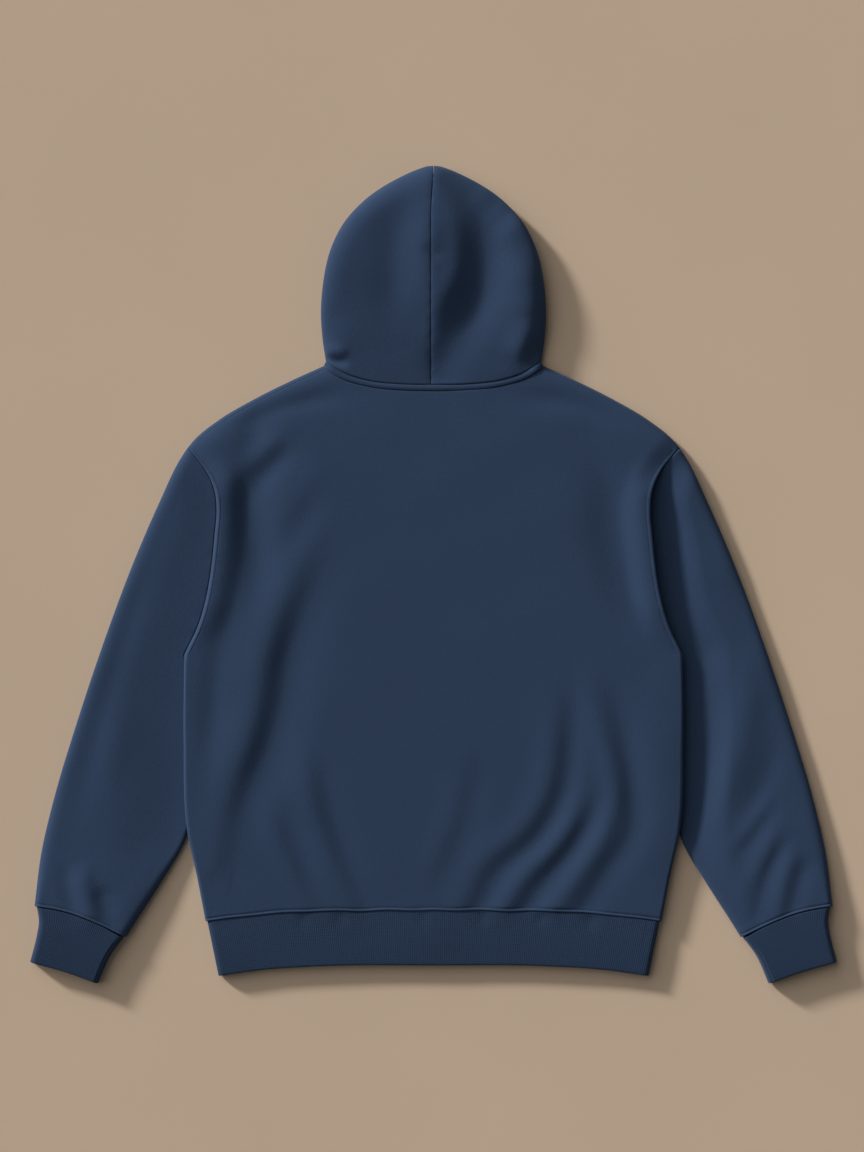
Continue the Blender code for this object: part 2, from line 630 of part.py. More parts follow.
def make_zip(tape, metal, collection, tools):
    """Closed zip under the fronts: tapes, a bar for the meshed teeth, pin box, slider and pull tab."""
    for side, name in ((-1, "zip_tape_left"), (1, "zip_tape_right")):
        edges = sorted((side * TAPE_INNER_EDGE, side * TAPE_OUTER_EDGE))
        block(name, (edges[0], ZIP_BOTTOM, TAPE_FLOOR), (edges[1], ZIP_TOP, TAPE_FLOOR + TAPE_THICKNESS),
              tape, collection)
    box_top = ZIP_BOTTOM + PIN_BOX_LENGTH
    block("zip_teeth", (-TEETH_HALF_WIDTH, box_top + SEAM_GAP, TEETH_FLOOR),
          (TEETH_HALF_WIDTH, TEETH_TOP, TEETH_FLOOR + TEETH_THICKNESS), metal, collection)
    block("zip_pin_box", (-TEETH_HALF_WIDTH, ZIP_BOTTOM, PIN_BOX_FLOOR),
          (TEETH_HALF_WIDTH, box_top, PIN_BOX_FLOOR + PIN_BOX_THICKNESS), metal, collection)
    plate_top = TEETH_FLOOR - SLIDER_CLEARANCE
    far_plate = TEETH_FLOOR + TEETH_THICKNESS + SLIDER_CLEARANCE
    wide = SLIDER_HALF_WIDTH
    slider = block("zip_slider", (-wide, SLIDER_BOTTOM, plate_top - SLIDER_PLATE),
                   (wide, SLIDER_TOP, plate_top), metal, collection)
    middle = SLIDER_PLATE / 2
    pieces = [block("slider_far_plate", (-wide, SLIDER_BOTTOM, far_plate),
                    (wide, SLIDER_TOP, far_plate + SLIDER_PLATE), metal, tools),
              block("slider_post", (-POST_HALF_WIDTH, POST_BOTTOM, plate_top - middle),
                    (POST_HALF_WIDTH, SLIDER_TOP - middle, far_plate + middle), metal, tools)]
    for side in (-1, 1):
        edges = sorted((side * LUG_INNER, side * (wide - SLIDER_CLEARANCE / 2)))
        pieces.append(block("slider_lug", (edges[0], PULL_AXIS_Y - LUG_HALF_LENGTH, LUG_FLOOR),
                            (edges[1], PULL_AXIS_Y + LUG_HALF_LENGTH, plate_top - middle), metal, tools))
    united(slider, pieces[::-1])
    make_pull(metal, collection)


def make_pull(metal, collection):
    """Pull tab, its origin on the pin axis: a flat tab with rounded corners at its free end."""
    outline = [(PULL_HALF_WIDTH, PULL_HALF_THICKNESS)]
    for centre_x, turn_start in ((PULL_HALF_WIDTH - PULL_CORNER, 0.0), (PULL_CORNER - PULL_HALF_WIDTH, 90.0)):
        for step in range(5):
            angle = math.radians(turn_start + 22.5 * step)
            outline.append((centre_x + PULL_CORNER * math.cos(angle),
                            PULL_LENGTH - PULL_CORNER + PULL_CORNER * math.sin(angle)))
    outline.append((-PULL_HALF_WIDTH, PULL_HALF_THICKNESS))
    rings = [[(x, -y, height) for x, y in outline] for height in (-PULL_HALF_THICKNESS, PULL_HALF_THICKNESS)]
    work = bmesh.new()
    low, high = ([work.verts.new(np.array(point) * MM) for point in ring_points] for ring_points in rings)
    work.faces.new(low)
    work.faces.new(high[::-1])
    for index in range(len(outline)):
        after = (index + 1) % len(outline)
        work.faces.new((low[after], low[index], high[index], high[after]))
    bmesh.ops.recalc_face_normals(work, faces=work.faces)
    mesh = bpy.data.meshes.new("zip_pull")
    work.to_mesh(mesh)
    work.free()
    pull = add_object("zip_pull", mesh, metal, collection)
    pull.location = (0, PULL_AXIS_Y * MM, PULL_AXIS_Z * MM)


def main():
    clear_scene()
    collection = bpy.data.collections.new("zip_up_hoodie")
    tools = bpy.data.collections.new("joining_tools")
    for group in (collection, tools):
        bpy.context.scene.collection.children.link(group)
    fleece = make_material("fleece", NAVY, 0.95)
    rib = make_material("rib", NAVY_RIB, 0.9)
    tape = make_material("zip_tape", NAVY_RIB, 0.85)
    metal = make_material("metal", METAL, 0.35, 1.0)
    make_zip(tape, metal, collection, tools)
    make_back(fleece, collection)
    make_hem(rib, collection)
    make_neck_band(fleece, collection)
    for side in (-1, 1):
        make_front(side, fleece, collection)
        make_sleeve(side, fleece, collection)
        make_cuff(side, rib, collection)
        make_hood(side, fleece, collection)


main()
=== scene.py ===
"""Zip-up hooded sweatshirt laid flat, back side up: cloth, seams, stitching, zip, floor and light.

Sizes in the tables are in millimetres: x to the right, y towards the hood, z up from the floor.
"""

import math
from collections import namedtuple

import bmesh
import bpy
import numpy as np
from bpy.props import FloatProperty, FloatVectorProperty, PointerProperty
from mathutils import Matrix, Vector


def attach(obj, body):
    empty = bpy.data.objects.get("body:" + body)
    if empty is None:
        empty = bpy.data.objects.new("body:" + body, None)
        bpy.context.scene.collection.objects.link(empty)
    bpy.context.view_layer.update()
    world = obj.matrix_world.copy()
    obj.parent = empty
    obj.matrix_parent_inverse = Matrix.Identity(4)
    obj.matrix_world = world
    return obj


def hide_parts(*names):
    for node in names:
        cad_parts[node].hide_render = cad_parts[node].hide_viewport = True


bl_info = {
    "name": "Laid-flat zip-up hoodie",
    "version": (1, 0, 0),
    "blender": (4, 5, 0),
    "location": "3D Viewport > Sidebar > Hoodie",
    "description": "Builds the cloth pieces, stitching and zip of a hooded sweatshirt laid flat",
    "category": "Add Mesh",
}

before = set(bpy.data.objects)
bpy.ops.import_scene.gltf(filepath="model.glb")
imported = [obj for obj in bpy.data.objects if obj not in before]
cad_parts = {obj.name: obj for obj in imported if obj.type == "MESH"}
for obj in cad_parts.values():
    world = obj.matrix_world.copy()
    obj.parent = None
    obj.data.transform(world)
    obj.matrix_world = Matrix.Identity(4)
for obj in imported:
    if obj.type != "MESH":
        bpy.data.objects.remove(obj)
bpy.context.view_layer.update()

MM = 0.001
GARMENT = "garment"
PULL = "pull"
SIDES = ((-1, "left"), (1, "right"))

# Widths and depths of the pieces
FRONT_WIDTH = 260.0
HEM_HALF_WIDTH = 258.0
CUFF_WIDTH = 105.0
BAND_DEPTH = 64.0
NECK_BAND_WIDTH = 7.0
HOOD_FACE_WIDTH = 70.0

# Seams
SEAM_GAP = 0.4
LAYER_GAP = 0.6
FLOOR_GAP = 0.02

# How the cloth turns over at the outline
BODY_TURN = ((-405, 5), (-250, 5), (-93, 5), (40, 16), (150, 28), (245, 24))
SLEEVE_TURN = 15.0
CUFF_TURN_REACH = 60.0
BAND_TURN = 8.0
HOOD_TURN = (27.0, 46.0)
UNDER_TURN = 6.0
HOOD_UNDER_TURN = 12.0
HOOD_TURN_BLEND = 120.0
HOOD_UNDER_TURN_START = 255.0
HOOD_UNDER_TURN_REACH = 40.0
RIM_RISE = 2.0
RIM_GAP = 0.6
SHOULDER_ROUND = 26.0

# Distances from an edge at which a surface has points, where it turns or carries a seam
OUTLINE_STEPS = (0, 0.4, 0.9, 1.6, 2.4, 3.2, 3.9, 4.4, 4.9, 5.4, 5.9, 6.5, 7.6, 9.6, 12.8, 17.0)
SEAM_STEPS = (0, 0.3, 0.7, 1.2, 2.0, 3.4)
HEM_WELT_STEPS = (0, 0.3, 0.7, 1.1, 1.6, 2.1, 2.6, 3.1, 3.5, 3.9, 4.5, 5.6, 7.6)
UNDER_STEPS = (0, 0.5, 1.4, 2.8, 4.4, 6.2)
BAND_STEPS = (0, 0.3, 0.8, 1.5, 2.5, 4.0)
CENTRE_SEAM_STEPS = (0, 0.35, 0.8, 1.4, 2.2, 3.4, 5.2, 7.6)
NECK_STEPS = (0, 0.25)
HOOD_TIP_STEPS = (0, 1.5)
HOOD_FACE_STEPS = (0, 1.0, 2.5)
ZIP_EDGE_STEPS = (0, 5.2, 5.7, 6.0, 6.4, 7.0)
ZIP_EDGE_SHARE = 0.04
TOP_STEP = 3.4
SLEEVE_STEP = 3.6
UNDER_STEP = 6.5
BAND_STEP = 5.0
NECK_STEP = 0.6
COLUMNS_A_RIB = 4
NECK_COLUMNS = 54
NECK_LAST_SHARE = 0.995
# Widths between those edges, from which the number of points is worked out
BACK_INSIDE = 265.0
FRONT_INSIDE = 240.0
SLEEVE_INSIDE = 125.0
SLEEVE_UNDER_INSIDE = 140.0
HOOD_INSIDE = 95.0
NARROWEST_ROW = 60.0
WELD = 1e-5
CLOTH_UV = "Cloth"
# Rings of one stitch: place along it, girth, and how far it is sunk, as shares of pitch and thickness
STITCH_SHAPE = ((-0.40, -0.26, 0.26, 0.40), (0.6, 1.0, 1.0, 0.6), (1.1, 0.0, 0.0, 1.1))
STITCH_SIDES = 6
# Points along each line beside which stitches run, and the ones of them that carry stitches
SEAM_POINTS = 240
ZIP_POINTS = 300
HEM_STITCHED = slice(0, -8)
ARMHOLE_STITCHED = slice(6, -6)
SHOULDER_STITCHED = slice(10, -14)
CUFF_STITCHED = slice(14, -16)
FRONT_HEM_STITCHED = slice(16, -20)

# Relief of the seams; the ridge above a rib band has a rise, a distance from the seam and a reach
SEAM_DIP = 0.6
SEAM_REACH = 0.6
PLAIN_SEAM_REACH = 0.78
ALLOWANCE_RISE = 0.3
ALLOWANCE_ROLL = 1.6
BAND_SEAM_RIDGE = (0.55, 1.2, 1.0)
STITCH_DIP = 0.6
STITCH_REACH = 0.65
WELT_END_REACH = 14.0
WELT_END_FADE = 8.0
SHOULDER_WELT_START = 4.0
SHOULDER_WELT_FADE = 14.0
SIDE_RELIEF_FADE = 4.0
UNDERARM_FADE = 6.0
HEM_WELT = 3.5
CUFF_WELT = 3.6
ARMHOLE_WELT = 5.6
SHOULDER_WELT = 4.5
ZIP_WELT = 6.0
ARMHOLE_TOP_FADE = 60.0
ARMHOLE_WELT_TOP_SHARE = 0.6

CLOTH_WALL = 2.4
RIB_WALL = 2.6
SEAM_FOLD_SHARE = 0.35
LAID_UNEVENNESS = 0.35
PUCKER = 0.3
PUCKER_REACH = 7.0
HOOD_PUCKER_REACH = 6.0
# Distance over which the slow waves and the small puckers of laid cloth repeat, and their fades at a seam
BODY_WAVES, SLEEVE_WAVES, HOOD_WAVES, NECK_WAVES = 90.0, 75.0, 60.0, 40.0
BODY_PUCKERS, SLEEVE_PUCKERS, HOOD_PUCKERS = 21.0, 17.0, 15.0
SLEEVE_WAVES_FADE, HOOD_WAVES_FADE = 40.0, 30.0
LEAST_HOLLOW = 1.5
RELIEF_FADE = 5.0
TURN_POWER = 2.5
# The back swells beside the armhole: by how much, from what distance, over what reach, and fading in over
# what height above the underarm; and the width over which it drops to the sleeve, left and right
ARMHOLE_ROLL = 4.6
ARMHOLE_ROLL_START = 10.0
ARMHOLE_ROLL_REACH = 28.0
ARMHOLE_ROLL_FADE = 60.0
ARMHOLE_EDGE = (6.4, 2.2)
BAND_PUFF = 0.5
BAND_DIP = 0.5
CUFF_HEIGHT = 16.8
CUFF_CREASE = 4.5
CUFF_CREASE_DEPTH = 0.9
CUFF_CREASE_REACH = 0.9
CUFF_CREASE_START, CUFF_CREASE_FADE = 6.0, 10.0
NECK_BEAD, NECK_BEAD_SINK = 0.9, 0.4
NECK_UNEVENNESS = 0.25
# The hood's middle seam: how far it lies to the left, over what length below the tip it gets there, and
# over what width the cloth beside it moves along; and where the gap at its tip widens
HOOD_SEAM_X = -3.0
HOOD_SEAM_EASE = 60.0
HOOD_SEAM_SPREAD = 40.0
HOOD_TIP_START, HOOD_TIP_REACH = 455.0, 15.0

# Zip, along the middle of the fronts
ZIP_HALF_OPENING = 6.5
TOOTH_PITCH = 1.35
TEETH_FOOT, TEETH_TOP = -445.6, 149.4
TEETH_LOW, TEETH_HIGH = 2.35, 4.35
TEETH_REACH, TOOTH_HEAD = 2.6, 0.9
# Half the width of a tooth as a share of the pitch: at its foot and at its head
TOOTH_HALF_WIDTHS = (0.36, 0.44)
TAPE_LOW, TAPE_WALL = 3.0, 0.7
TAPE_FOOT, TAPE_TOP, TAPE_STEP = -454.1, 158.0, 2.0
TAPE_COLUMNS = (2.9, 3.3, 3.8, 4.3, 4.7, 5.4, 7.0, 8.6, 10.2, 11.8, 13.2, 14.0)
TAPE_CORD, TAPE_CORD_X, TAPE_CORD_REACH = 0.12, 3.8, 0.6
ZIP_STITCHES = (152.0, -390.0)
# Plates with rounded corners: half width, lowest y, highest y, corner radius; lowest z, highest z, chamfer
PIN_BOX = (((3.6, -454, -446, 0.9), (1.7, 4.9, 0.3)), ((2.6, -453, -448, 0.6), (1.6, 1.95, 0.12)))
PULL_OUTLINE, PULL_HOLE, PULL_PLATE = (3.2, 122.5, 149.1, 2.4), (1.5, 127, 139, 1.4), (0.2, 1.0, 0.18)
SLIDER_POST = ((1.2, 150, 153.5, 1.0), (1.6, 5.2, 0.1))
SLIDER_LUG = ((0.475, 148, 151, 0.4), (0.15, 1.6, 0.1))
SLIDER_LUG_X = 3.975
SLIDER_PLATES = ((1.15, 2.05, 0.25), (4.65, 5.55, 0.25))
SLIDER_RIGHT = ((0.0, 154.0), (3.0, 154.0), (4.2, 153.6), (4.6, 152.4), (4.5, 149.0), (3.7, 145.5),
                (3.4, 143.0), (2.6, 142.2), (0.0, 142.0))

# Finishes: mottling is rows of scale, amount; bumps are scale, detail, strength, distance in metres
SHEEN_ROUGHNESS = 0.5
SHEEN_TINT = (0.62, 0.78, 1.0, 1.0)
CLOTH_SPECULAR = 0.2
FLEECE_SHEEN = 0.12
FLEECE_MOTTLING = ((14.0, 0.02), (420.0, 0.05), (1500.0, 0.09))
RIB_MOTTLING = ((14.0, 0.03), (500.0, 0.06))
THREAD_MOTTLING = ((1200.0, 0.15),)
TAPE_MOTTLING = ((700.0, 0.12), (60.0, 0.05))
METAL_MOTTLING = ((300.0, 0.10), (2000.0, 0.06))
FLOOR_MOTTLING = ((3.0, 0.015), (700.0, 0.02))
FLEECE_TUFTS = (260.0, 3.0, 0.3, 0.0005)
FLEECE_NAP = (900.0, 4.0, 0.4, 0.0003)
RIB_FUZZ = (800.0, 3.0, 0.5, 0.0006)
THREAD_TWIST = (3000.0, 2.0, 0.4, 0.0001)
METAL_MARKS = (1800.0, 4.0, 0.15, 0.00005)
FLOOR_GRAIN = (500.0, 3.0, 0.1, 0.0003)
WALES_BUMP, COURSES_BUMP, TWILL_BUMP = (0.12, 0.0002), (0.3, 0.0003), (0.6, 0.0003)
KNIT_SCALE = 120.0
TWILL_SCALE = 160.0
HERRINGBONE_WIDTH = 0.0016

# Light and view: angles in degrees, places and lengths in metres, the sensor in millimetres
SUN_ELEVATION = 17.0
SUN_FROM = (-0.77, 0.64)
SUN_ANGLE = 7.0
WINDOW_ELEVATION = 35.0
WINDOW_ANGLE = 75.0
SUN_COLOUR = (1.0, 0.965, 0.92)
SKY_COLOUR = (1.0, 0.985, 0.965, 1.0)
FLOOR_REACH = 14.0
CAMERA_PLACE = (-0.0018, -0.0012, 4.005)
CAMERA_SENSOR = 36.0
CAMERA_REACH = 20.0
GARMENT_MIDDLE = 0.005
VIEW_LENGTH = 1.348

# Lines of the laid garment, right half: rows of x, y
SHOULDER = ((128.7, 244.5), (165, 228), (211, 205), (251, 181.5), (280, 158), (287.8, 148.6))
ARMHOLE = ((287.8, 148.6), (281, 141), (266, 122), (256, 99), (253.5, 72), (255.5, 50),
           (258, 23), (261.5, -4), (267, -32), (276, -61), (287, -84), (291.3, -93))
SIDE = ((291.3, -93), (292, -193), (288, -298), (276, -357), (266.8, -405))
HEM_SEAM = ((0, -391.7), (26, -392.5), (54, -391.7), (86, -393.3), (112, -392.5), (146, -393.8),
            (178, -394.8), (210, -398.2), (240, -401.2), (266.8, -405))
HEM_SIDE = ((264.8, -405), (258.5, -436), (251.8, -468.7))
HEM_EDGE = ((0, -456), (130, -457), (200, -461.5), (251.8, -468.7))
BACK_NECK = ((0, 215), (40, 216), (76, 220), (112, 231.5), (128.7, 244.5))
HOOD_NECK = ((0, 222), (40, 223), (75.6, 227), (110, 239), (126, 250))
FRONT_NECK = ((ZIP_HALF_OPENING, 160), (35, 167), (75, 184), (112, 214), (128.7, 244.5))
HOOD_OUTLINE = ((126, 250), (129, 269), (131.6, 304), (129.3, 339), (120, 381), (106, 409.5),
                (81, 437.5), (37, 465.7), (18, 474), (6, 477.6), (0, 478))
HOOD_FRONT_EDGE = ((ZIP_HALF_OPENING, 160), (38, 205), (60, 250), (66, 300), (58, 355),
                   (36, 402), (0, 426))
HOOD_UNDER_SEAM = ((0, 478), (0, 426))
HOOD_UNDER_NECK = ((126, 250), (112, 216), (75, 185.5), (35, 168), (ZIP_HALF_OPENING, 160.5))
SLEEVE_OUTER = ((287.8, 148.6), (297, 134.6), (319.5, 88), (350, 17.5), (385, -76), (416.5, -170),
                (444.5, -263), (459, -325), (466.8, -387))
SLEEVE_INNER = ((291.7, -93.3), (288.6, -110), (286, -128), (282, -160), (277.5, -215), (281, -270),
                (291, -311), (317, -357), (347, -404), (359.2, -423.5))
CUFF_SEAM = ((466.8, -387), (452, -389), (429, -393.7), (405, -402), (386.5, -410), (359.2, -423.5))
CUFF_TOP = ((464, -388), (452, -389.6), (429, -394.3), (405, -402.6), (386.5, -410.6),
            (362.2, -424))
CUFF_OUTER = ((464, -388), (461.6, -404), (464.3, -422.4), (471.9, -452))
CUFF_INNER = ((362.2, -424), (377.3, -444.6), (392, -477.4))
CUFF_EDGE = ((471.9, -452), (429, -464), (392, -477.4))
WHOLE_OUTLINE = SHOULDER + SLEEVE_OUTER[1:]
BACK_MIDDLE = ((0, 215), (0, -392))
FRONT_MIDDLE = ((ZIP_HALF_OPENING, 160), (ZIP_HALF_OPENING, -392))
HEM_MIDDLE = ((0, -392), (0, -456))
HOOD_MIDDLE = ((0, 478), (0, 222))
NECK_MIDDLE = ((0, 222), (0, 215))
UNDERARM_ROW_SHARE = 0.405
SLOPE_STEP = 0.004

# Height of the top face above the floor, well inside the outline: rows of y, height
BODY_HEIGHT = ((-405, 13.3), (-290, 15.8), (-150, 17.6), (0, 18.4), (150, 17.2), (215, 15.4))
SLEEVE_HEIGHT = ((-424, 17.0), (-370, 15.6), (-290, 13.0), (-100, 12.0), (20, 12.6), (150, 15.5))
HOOD_HEIGHT = ((222, 16.6), (262, 19.6), (300, 22.4), (360, 26.6), (420, 28.8), (478, 27))
BAND_HEIGHT = 12.8
NECK_BAND_HEIGHT = 16.0
NECK_BAND_END = (129.3, 243.5)

# Height of the line where top and underside meet at the outline: rows of y, height
SLEEVE_INNER_RIM = ((-424, 4.6), (-330, 4.2), (-125, 3.6), (-93, 5.4))
HOOD_RIM = ((222, 5.2), (252, 5.6), (300, 10.5), (478, 11))
RIM_HEIGHT = 5.0
BAND_RIM = 4.8

# Each sleeve beside the body, left and right: its height there, how far it stays level and how far it climbs,
# each as rows of y, value; and how much of its underarm edge is tucked under the body
SLEEVE_LOW = (((-424, 16), (-370, 13.2), (-310, 8.2), (-150, 7.4), (-40, 9.8), (70, 12.0), (148, 14.2)),
              ((-424, 16), (-370, 12.4), (-310, 6.6), (-150, 6.2), (-40, 6.2), (60, 6.6), (110, 9.6),
               (148, 14.2)))
SLEEVE_LEVEL = (((-424, 0), (148, 0)),
                ((-424, 0), (-330, 0), (-240, 20), (-140, 22), (-60, 18), (60, 19), (148, 4)))
SLEEVE_CLIMB = (((-424, 30), (-330, 70), (-200, 95), (-60, 80), (148, 26)),
                ((-424, 30), (-330, 40), (-200, 34), (-60, 38), (148, 26)))
TUCKED_WIDTH = ((-424, 0), (-345, 0), (-300, 9), (-215, 15), (-150, 10), (-115, 2), (-93, 0))
INNER_TURN = ((-424, 12), (-360, 12), (-305, 6), (-200, 5), (-120, 3.5), (-93, 1.2))
SIDE_LIFT = 7.7
SIDE_RIM_LIFT = 6.2
SIDE_LIFT_START = 246.0
SIDE_LIFT_END = 271.0
SIDE_LIFT_SHARE = ((-338, 0), (-302, 1), (-98, 1), (-76, 0))

# Folds: each crest or trough stands `rise` above the laid cloth along its path and dies away over `near` to
# the left of the path's run and `far` to the right of it, seen from above. Most paths run down the garment,
# so that `near` is their side with the larger x. `first` and `last` are the shares of the rise at the ends
Fold = namedtuple("Fold", "path rise near far first last")
BODY_FOLDS = (
    # the hollow beside the left armhole, and creases running up from it to the shoulder
    Fold(((-210, 172), (-213, 75), (-208, 20), (-212, -56)), -5.2, 24, 20, 0.5, 0.0),
    Fold(((-172, 172), (-207, 138), (-232, 114)), 2.0, 11, 14, 0.1, 0.4),
    Fold(((-158, 156), (-191, 121), (-216, 92)), -1.9, 13, 11, 0.1, 0.4),
    Fold(((-112, 148), (-158, 96), (-188, 48)), 0.8, 15, 18, 0.0, 0.2),
    Fold(((-122, 98), (-158, 52), (-180, 12)), -0.9, 15, 16, 0.0, 0.1),
    Fold(((-238, 172), (-165, 200), (-92, 210)), -2.0, 12, 12, 0.2, 0.1),
    # the long fold down the left, between a ridge and a hollow
    Fold(((-128, 70), (-165, 0), (-187, -50), (-200, -100), (-209, -150), (-222, -200), (-240, -250),
          (-252, -300), (-258, -336)), 3.4, 18, 23, 0.1, 0.3),
    Fold(((-108, 40), (-140, -25), (-168, -100), (-175, -150), (-190, -200), (-211, -250), (-224, -300),
          (-232, -336)), -3.4, 30, 18, 0.1, 0.3),
    Fold(((-230, -15), (-250, -90), (-260, -180), (-270, -262)), -2.0, 15, 16, 0.0, 0.0),
    # lower left, running down to the hem
    Fold(((-152, -180), (-148, -250), (-134, -300), (-114, -352), (-100, -388)), 1.7, 12, 20, 0.0, 0.4),
    Fold(((-128, -190), (-123, -250), (-110, -300), (-90, -350), (-76, -388)), -1.5, 20, 12, 0.0, 0.4),
    Fold(((-198, -245), (-187, -300), (-168, -345), (-150, -390)), 1.2, 13, 16, 0.0, 0.4),
    Fold(((-176, -255), (-163, -302), (-146, -345), (-128, -388)), -0.9, 14, 13, 0.0, 0.4),
    # middle and right, fanning up from the hem: ridges and hollows in turn
    Fold(((36, -190), (12, -300), (-26, -384)), 0.8, 14, 16, 0.0, 0.2),
    Fold(((62, -180), (42, -290), (8, -368)), -0.7, 16, 14, 0.0, 0.2),
    Fold(((140, -120), (138, -200), (130, -250), (100, -300), (56, -335), (30, -384)), 2.0, 15, 18, 0.0, 0.5),
    Fold(((159, -80), (160, -200), (153, -250), (128, -300), (76, -350), (54, -392)), -2.2, 14, 15, 0.0, 0.7),
    Fold(((176, -232), (166, -275), (134, -325), (108, -350), (80, -392)), 2.4, 13, 14, 0.0, 0.8),
    Fold(((194, -238), (187, -275), (160, -325), (138, -350), (108, -392)), -2.3, 14, 13, 0.0, 0.8),
    Fold(((172, -100), (197, -190), (211, -262), (200, -300), (170, -350), (140, -392)),
         2.4, 13, 14, 0.0, 0.8),
    Fold(((198, -90), (222, -180), (233, -245), (233, -300), (202, -350), (176, -392)),
         -2.5, 18, 13, 0.0, 0.7),
    # upper right
    Fold(((78, 208), (160, 202), (253, 167)), -2.0, 12, 14, 0.2, 0.1),
    Fold(((178, 156), (203, 100), (211, 40), (226, -20), (252, -96)), -4.0, 20, 28, 0.3, 0.1),
    Fold(((272, -60), (273, -200), (266, -300), (252, -382)), 1.7, 24, 40, 0.0, 0.5),
)
SLEEVE_LEFT_FOLDS = (
    Fold(((-318, 60), (-384, -150), (-428, -316)), -1.4, 14, 18, 0.1, 0.2),
    Fold(((-433, -330), (-428, -362), (-421, -394)), -1.3, 10, 10, 0.0, 0.8),
    Fold(((-411, -332), (-406, -366), (-400, -398)), 2.5, 11, 14, 0.0, 0.9),
    Fold(((-390, -360), (-384, -383), (-375, -406)), -2.0, 14, 11, 0.0, 0.8),
    Fold(((-300, -290), (-330, -345), (-362, -402)), 1.4, 14, 12, 0.0, 0.6),
    Fold(((-352, -120), (-372, -210), (-392, -290)), 0.8, 16, 22, 0.0, 0.0),
)
SLEEVE_RIGHT_FOLDS = (
    Fold(((362, -60), (366, -140), (360, -190), (344, -240), (312, -296)), 2.8, 20, 20, 0.0, 0.1),
    Fold(((404, -170), (394, -222), (371, -268), (340, -306)), -1.3, 13, 15, 0.0, 0.1),
    Fold(((402, -246), (378, -286), (344, -326)), 0.7, 9, 10, 0.0, 0.1),
    Fold(((408, -256), (375, -304), (346, -346)), -1.2, 11, 9, 0.0, 0.1),
    Fold(((412, -278), (386, -326), (358, -380)), 1.2, 9, 11, 0.0, 0.3),
    Fold(((418, -298), (393, -345), (376, -398)), -1.2, 9, 8, 0.0, 0.8),
    Fold(((428, -308), (411, -350), (401, -394)), 1.4, 9, 9, 0.0, 0.8),
    Fold(((442, -322), (428, -358), (419, -394)), -1.4, 11, 9, 0.0, 0.8),
    Fold(((340, 20), (366, -50), (384, -110)), -1.0, 18, 16, 0.0, 0.0),
)
HOOD_FOLDS = (
    # the crown along the middle seam, the shallow hollow to its left and the deep one to its right
    Fold(((-3, 458), (-6, 365), (-4, 285)), 5.0, 20, 22, 0.2, 0.0),
    Fold(((-34, 446), (-48, 385), (-48, 325), (-42, 272)), -2.4, 18, 22, 0.0, 0.0),
    Fold(((6, 458), (20, 410), (25, 380), (22, 350), (10, 320), (0, 284), (-2, 262)), 3.2, 14, 16, 0.0, 0.3),
    Fold(((34, 466), (58, 410), (62, 372), (54, 328), (44, 300), (30, 276), (14, 254)),
         -7.6, 25, 22, 0.8, 0.5),
    Fold(((60, 452), (84, 430), (104, 408)), -5.5, 18, 22, 0.4, 0.1),
    Fold(((102, 388), (112, 345), (112, 305), (96, 276)), 4.8, 18, 24, 0.0, 0.2),
    Fold(((-16, 384), (-2, 375), (12, 366)), -1.1, 6, 7, 0.0, 0.0),
    # creases at the two lower corners
    Fold(((-136, 248), (-118, 250), (-96, 246)), -4.4, 5, 5, 1.0, 0.0),
    Fold(((-130, 260), (-114, 262), (-96, 257)), 2.4, 6, 8, 0.8, 0.0),
    Fold(((134, 268), (122, 258), (112, 250)), -3.0, 8, 9, 1.0, 0.0),
    Fold(((116, 302), (108, 276), (99, 258), (90, 243)), 4.4, 12, 16, 0.1, 0.1),
    Fold(((-110, 320), (-118, 290), (-112, 268)), -1.2, 14, 14, 0.0, 0.2),
)
# Small hollows just below the hem seam, where the body's folds run on into the band: x, depth
HEM_DIPS = ((-152, 0.9), (-109, 0.9), (-12, 0.7), (57, 1.0), (125, 1.1), (183, 1.1))
HEM_DIP_PLACE = 8.0
HEM_DIP_WIDTH = 8.0
HEM_DIP_LENGTH = 9.0
HEM_DIP_START = 5.0
HOOD_SEAM_DIP = 0.5
HOOD_SEAM_REACH = 4.0
HOOD_TIP_GAP = 0.08
FOLD_FADE = 7.0
FOLD_PATH_STEPS = 25
FOLD_END_SHARE = 0.4


# ---------------------------------------------------------------- lines and heights
def cubic(knots, values, at):
    """Values on a smooth cubic through the rows of `values`, one at each knot; level beyond both ends."""
    slopes = np.gradient(values, knots, axis=0)
    at = np.clip(np.asarray(at, float), knots[0], knots[-1])
    span = np.clip(np.searchsorted(knots, at, "right") - 1, 0, len(knots) - 2)
    width = (knots[span + 1] - knots[span])[..., None]
    t = (at - knots[span])[..., None] / width
    rest = 1.0 - t
    return ((1 + 2 * t) * rest**2 * values[span] + t * rest**2 * width * slopes[span]
            + t**2 * (3 - 2 * t) * values[span + 1] - t**2 * rest * width * slopes[span + 1])


def line(rows, shares):
    """Points at the given shares of length on a smooth cubic line through the rows."""
    points = np.array(rows, float)
    steps = np.linalg.norm(np.diff(points, axis=0), axis=1)
    return cubic(np.concatenate(([0.0], np.cumsum(steps))) / steps.sum(), points, shares)


def length(rows):
    """Sum of the distances between neighbouring rows."""
    return float(np.linalg.norm(np.diff(np.array(rows, float), axis=0), axis=1).sum())


def table(rows, at):
    """Value read from rows of (place, value), smoothly between rows."""
    rows = np.array(sorted(rows), float)
    return cubic(rows[:, 0], rows[:, 1:], at)[..., 0]


def ease(share):
    """Smooth step from 0 to 1: three times the square less twice the cube."""
    share = np.clip(share, 0.0, 1.0)
    return share * share * (3 - 2 * share)


def bell(distance, reach):
    """1 at no distance, falling off on both sides: e to minus the square of distance over reach."""
    return np.exp(-((distance / reach) ** 2))


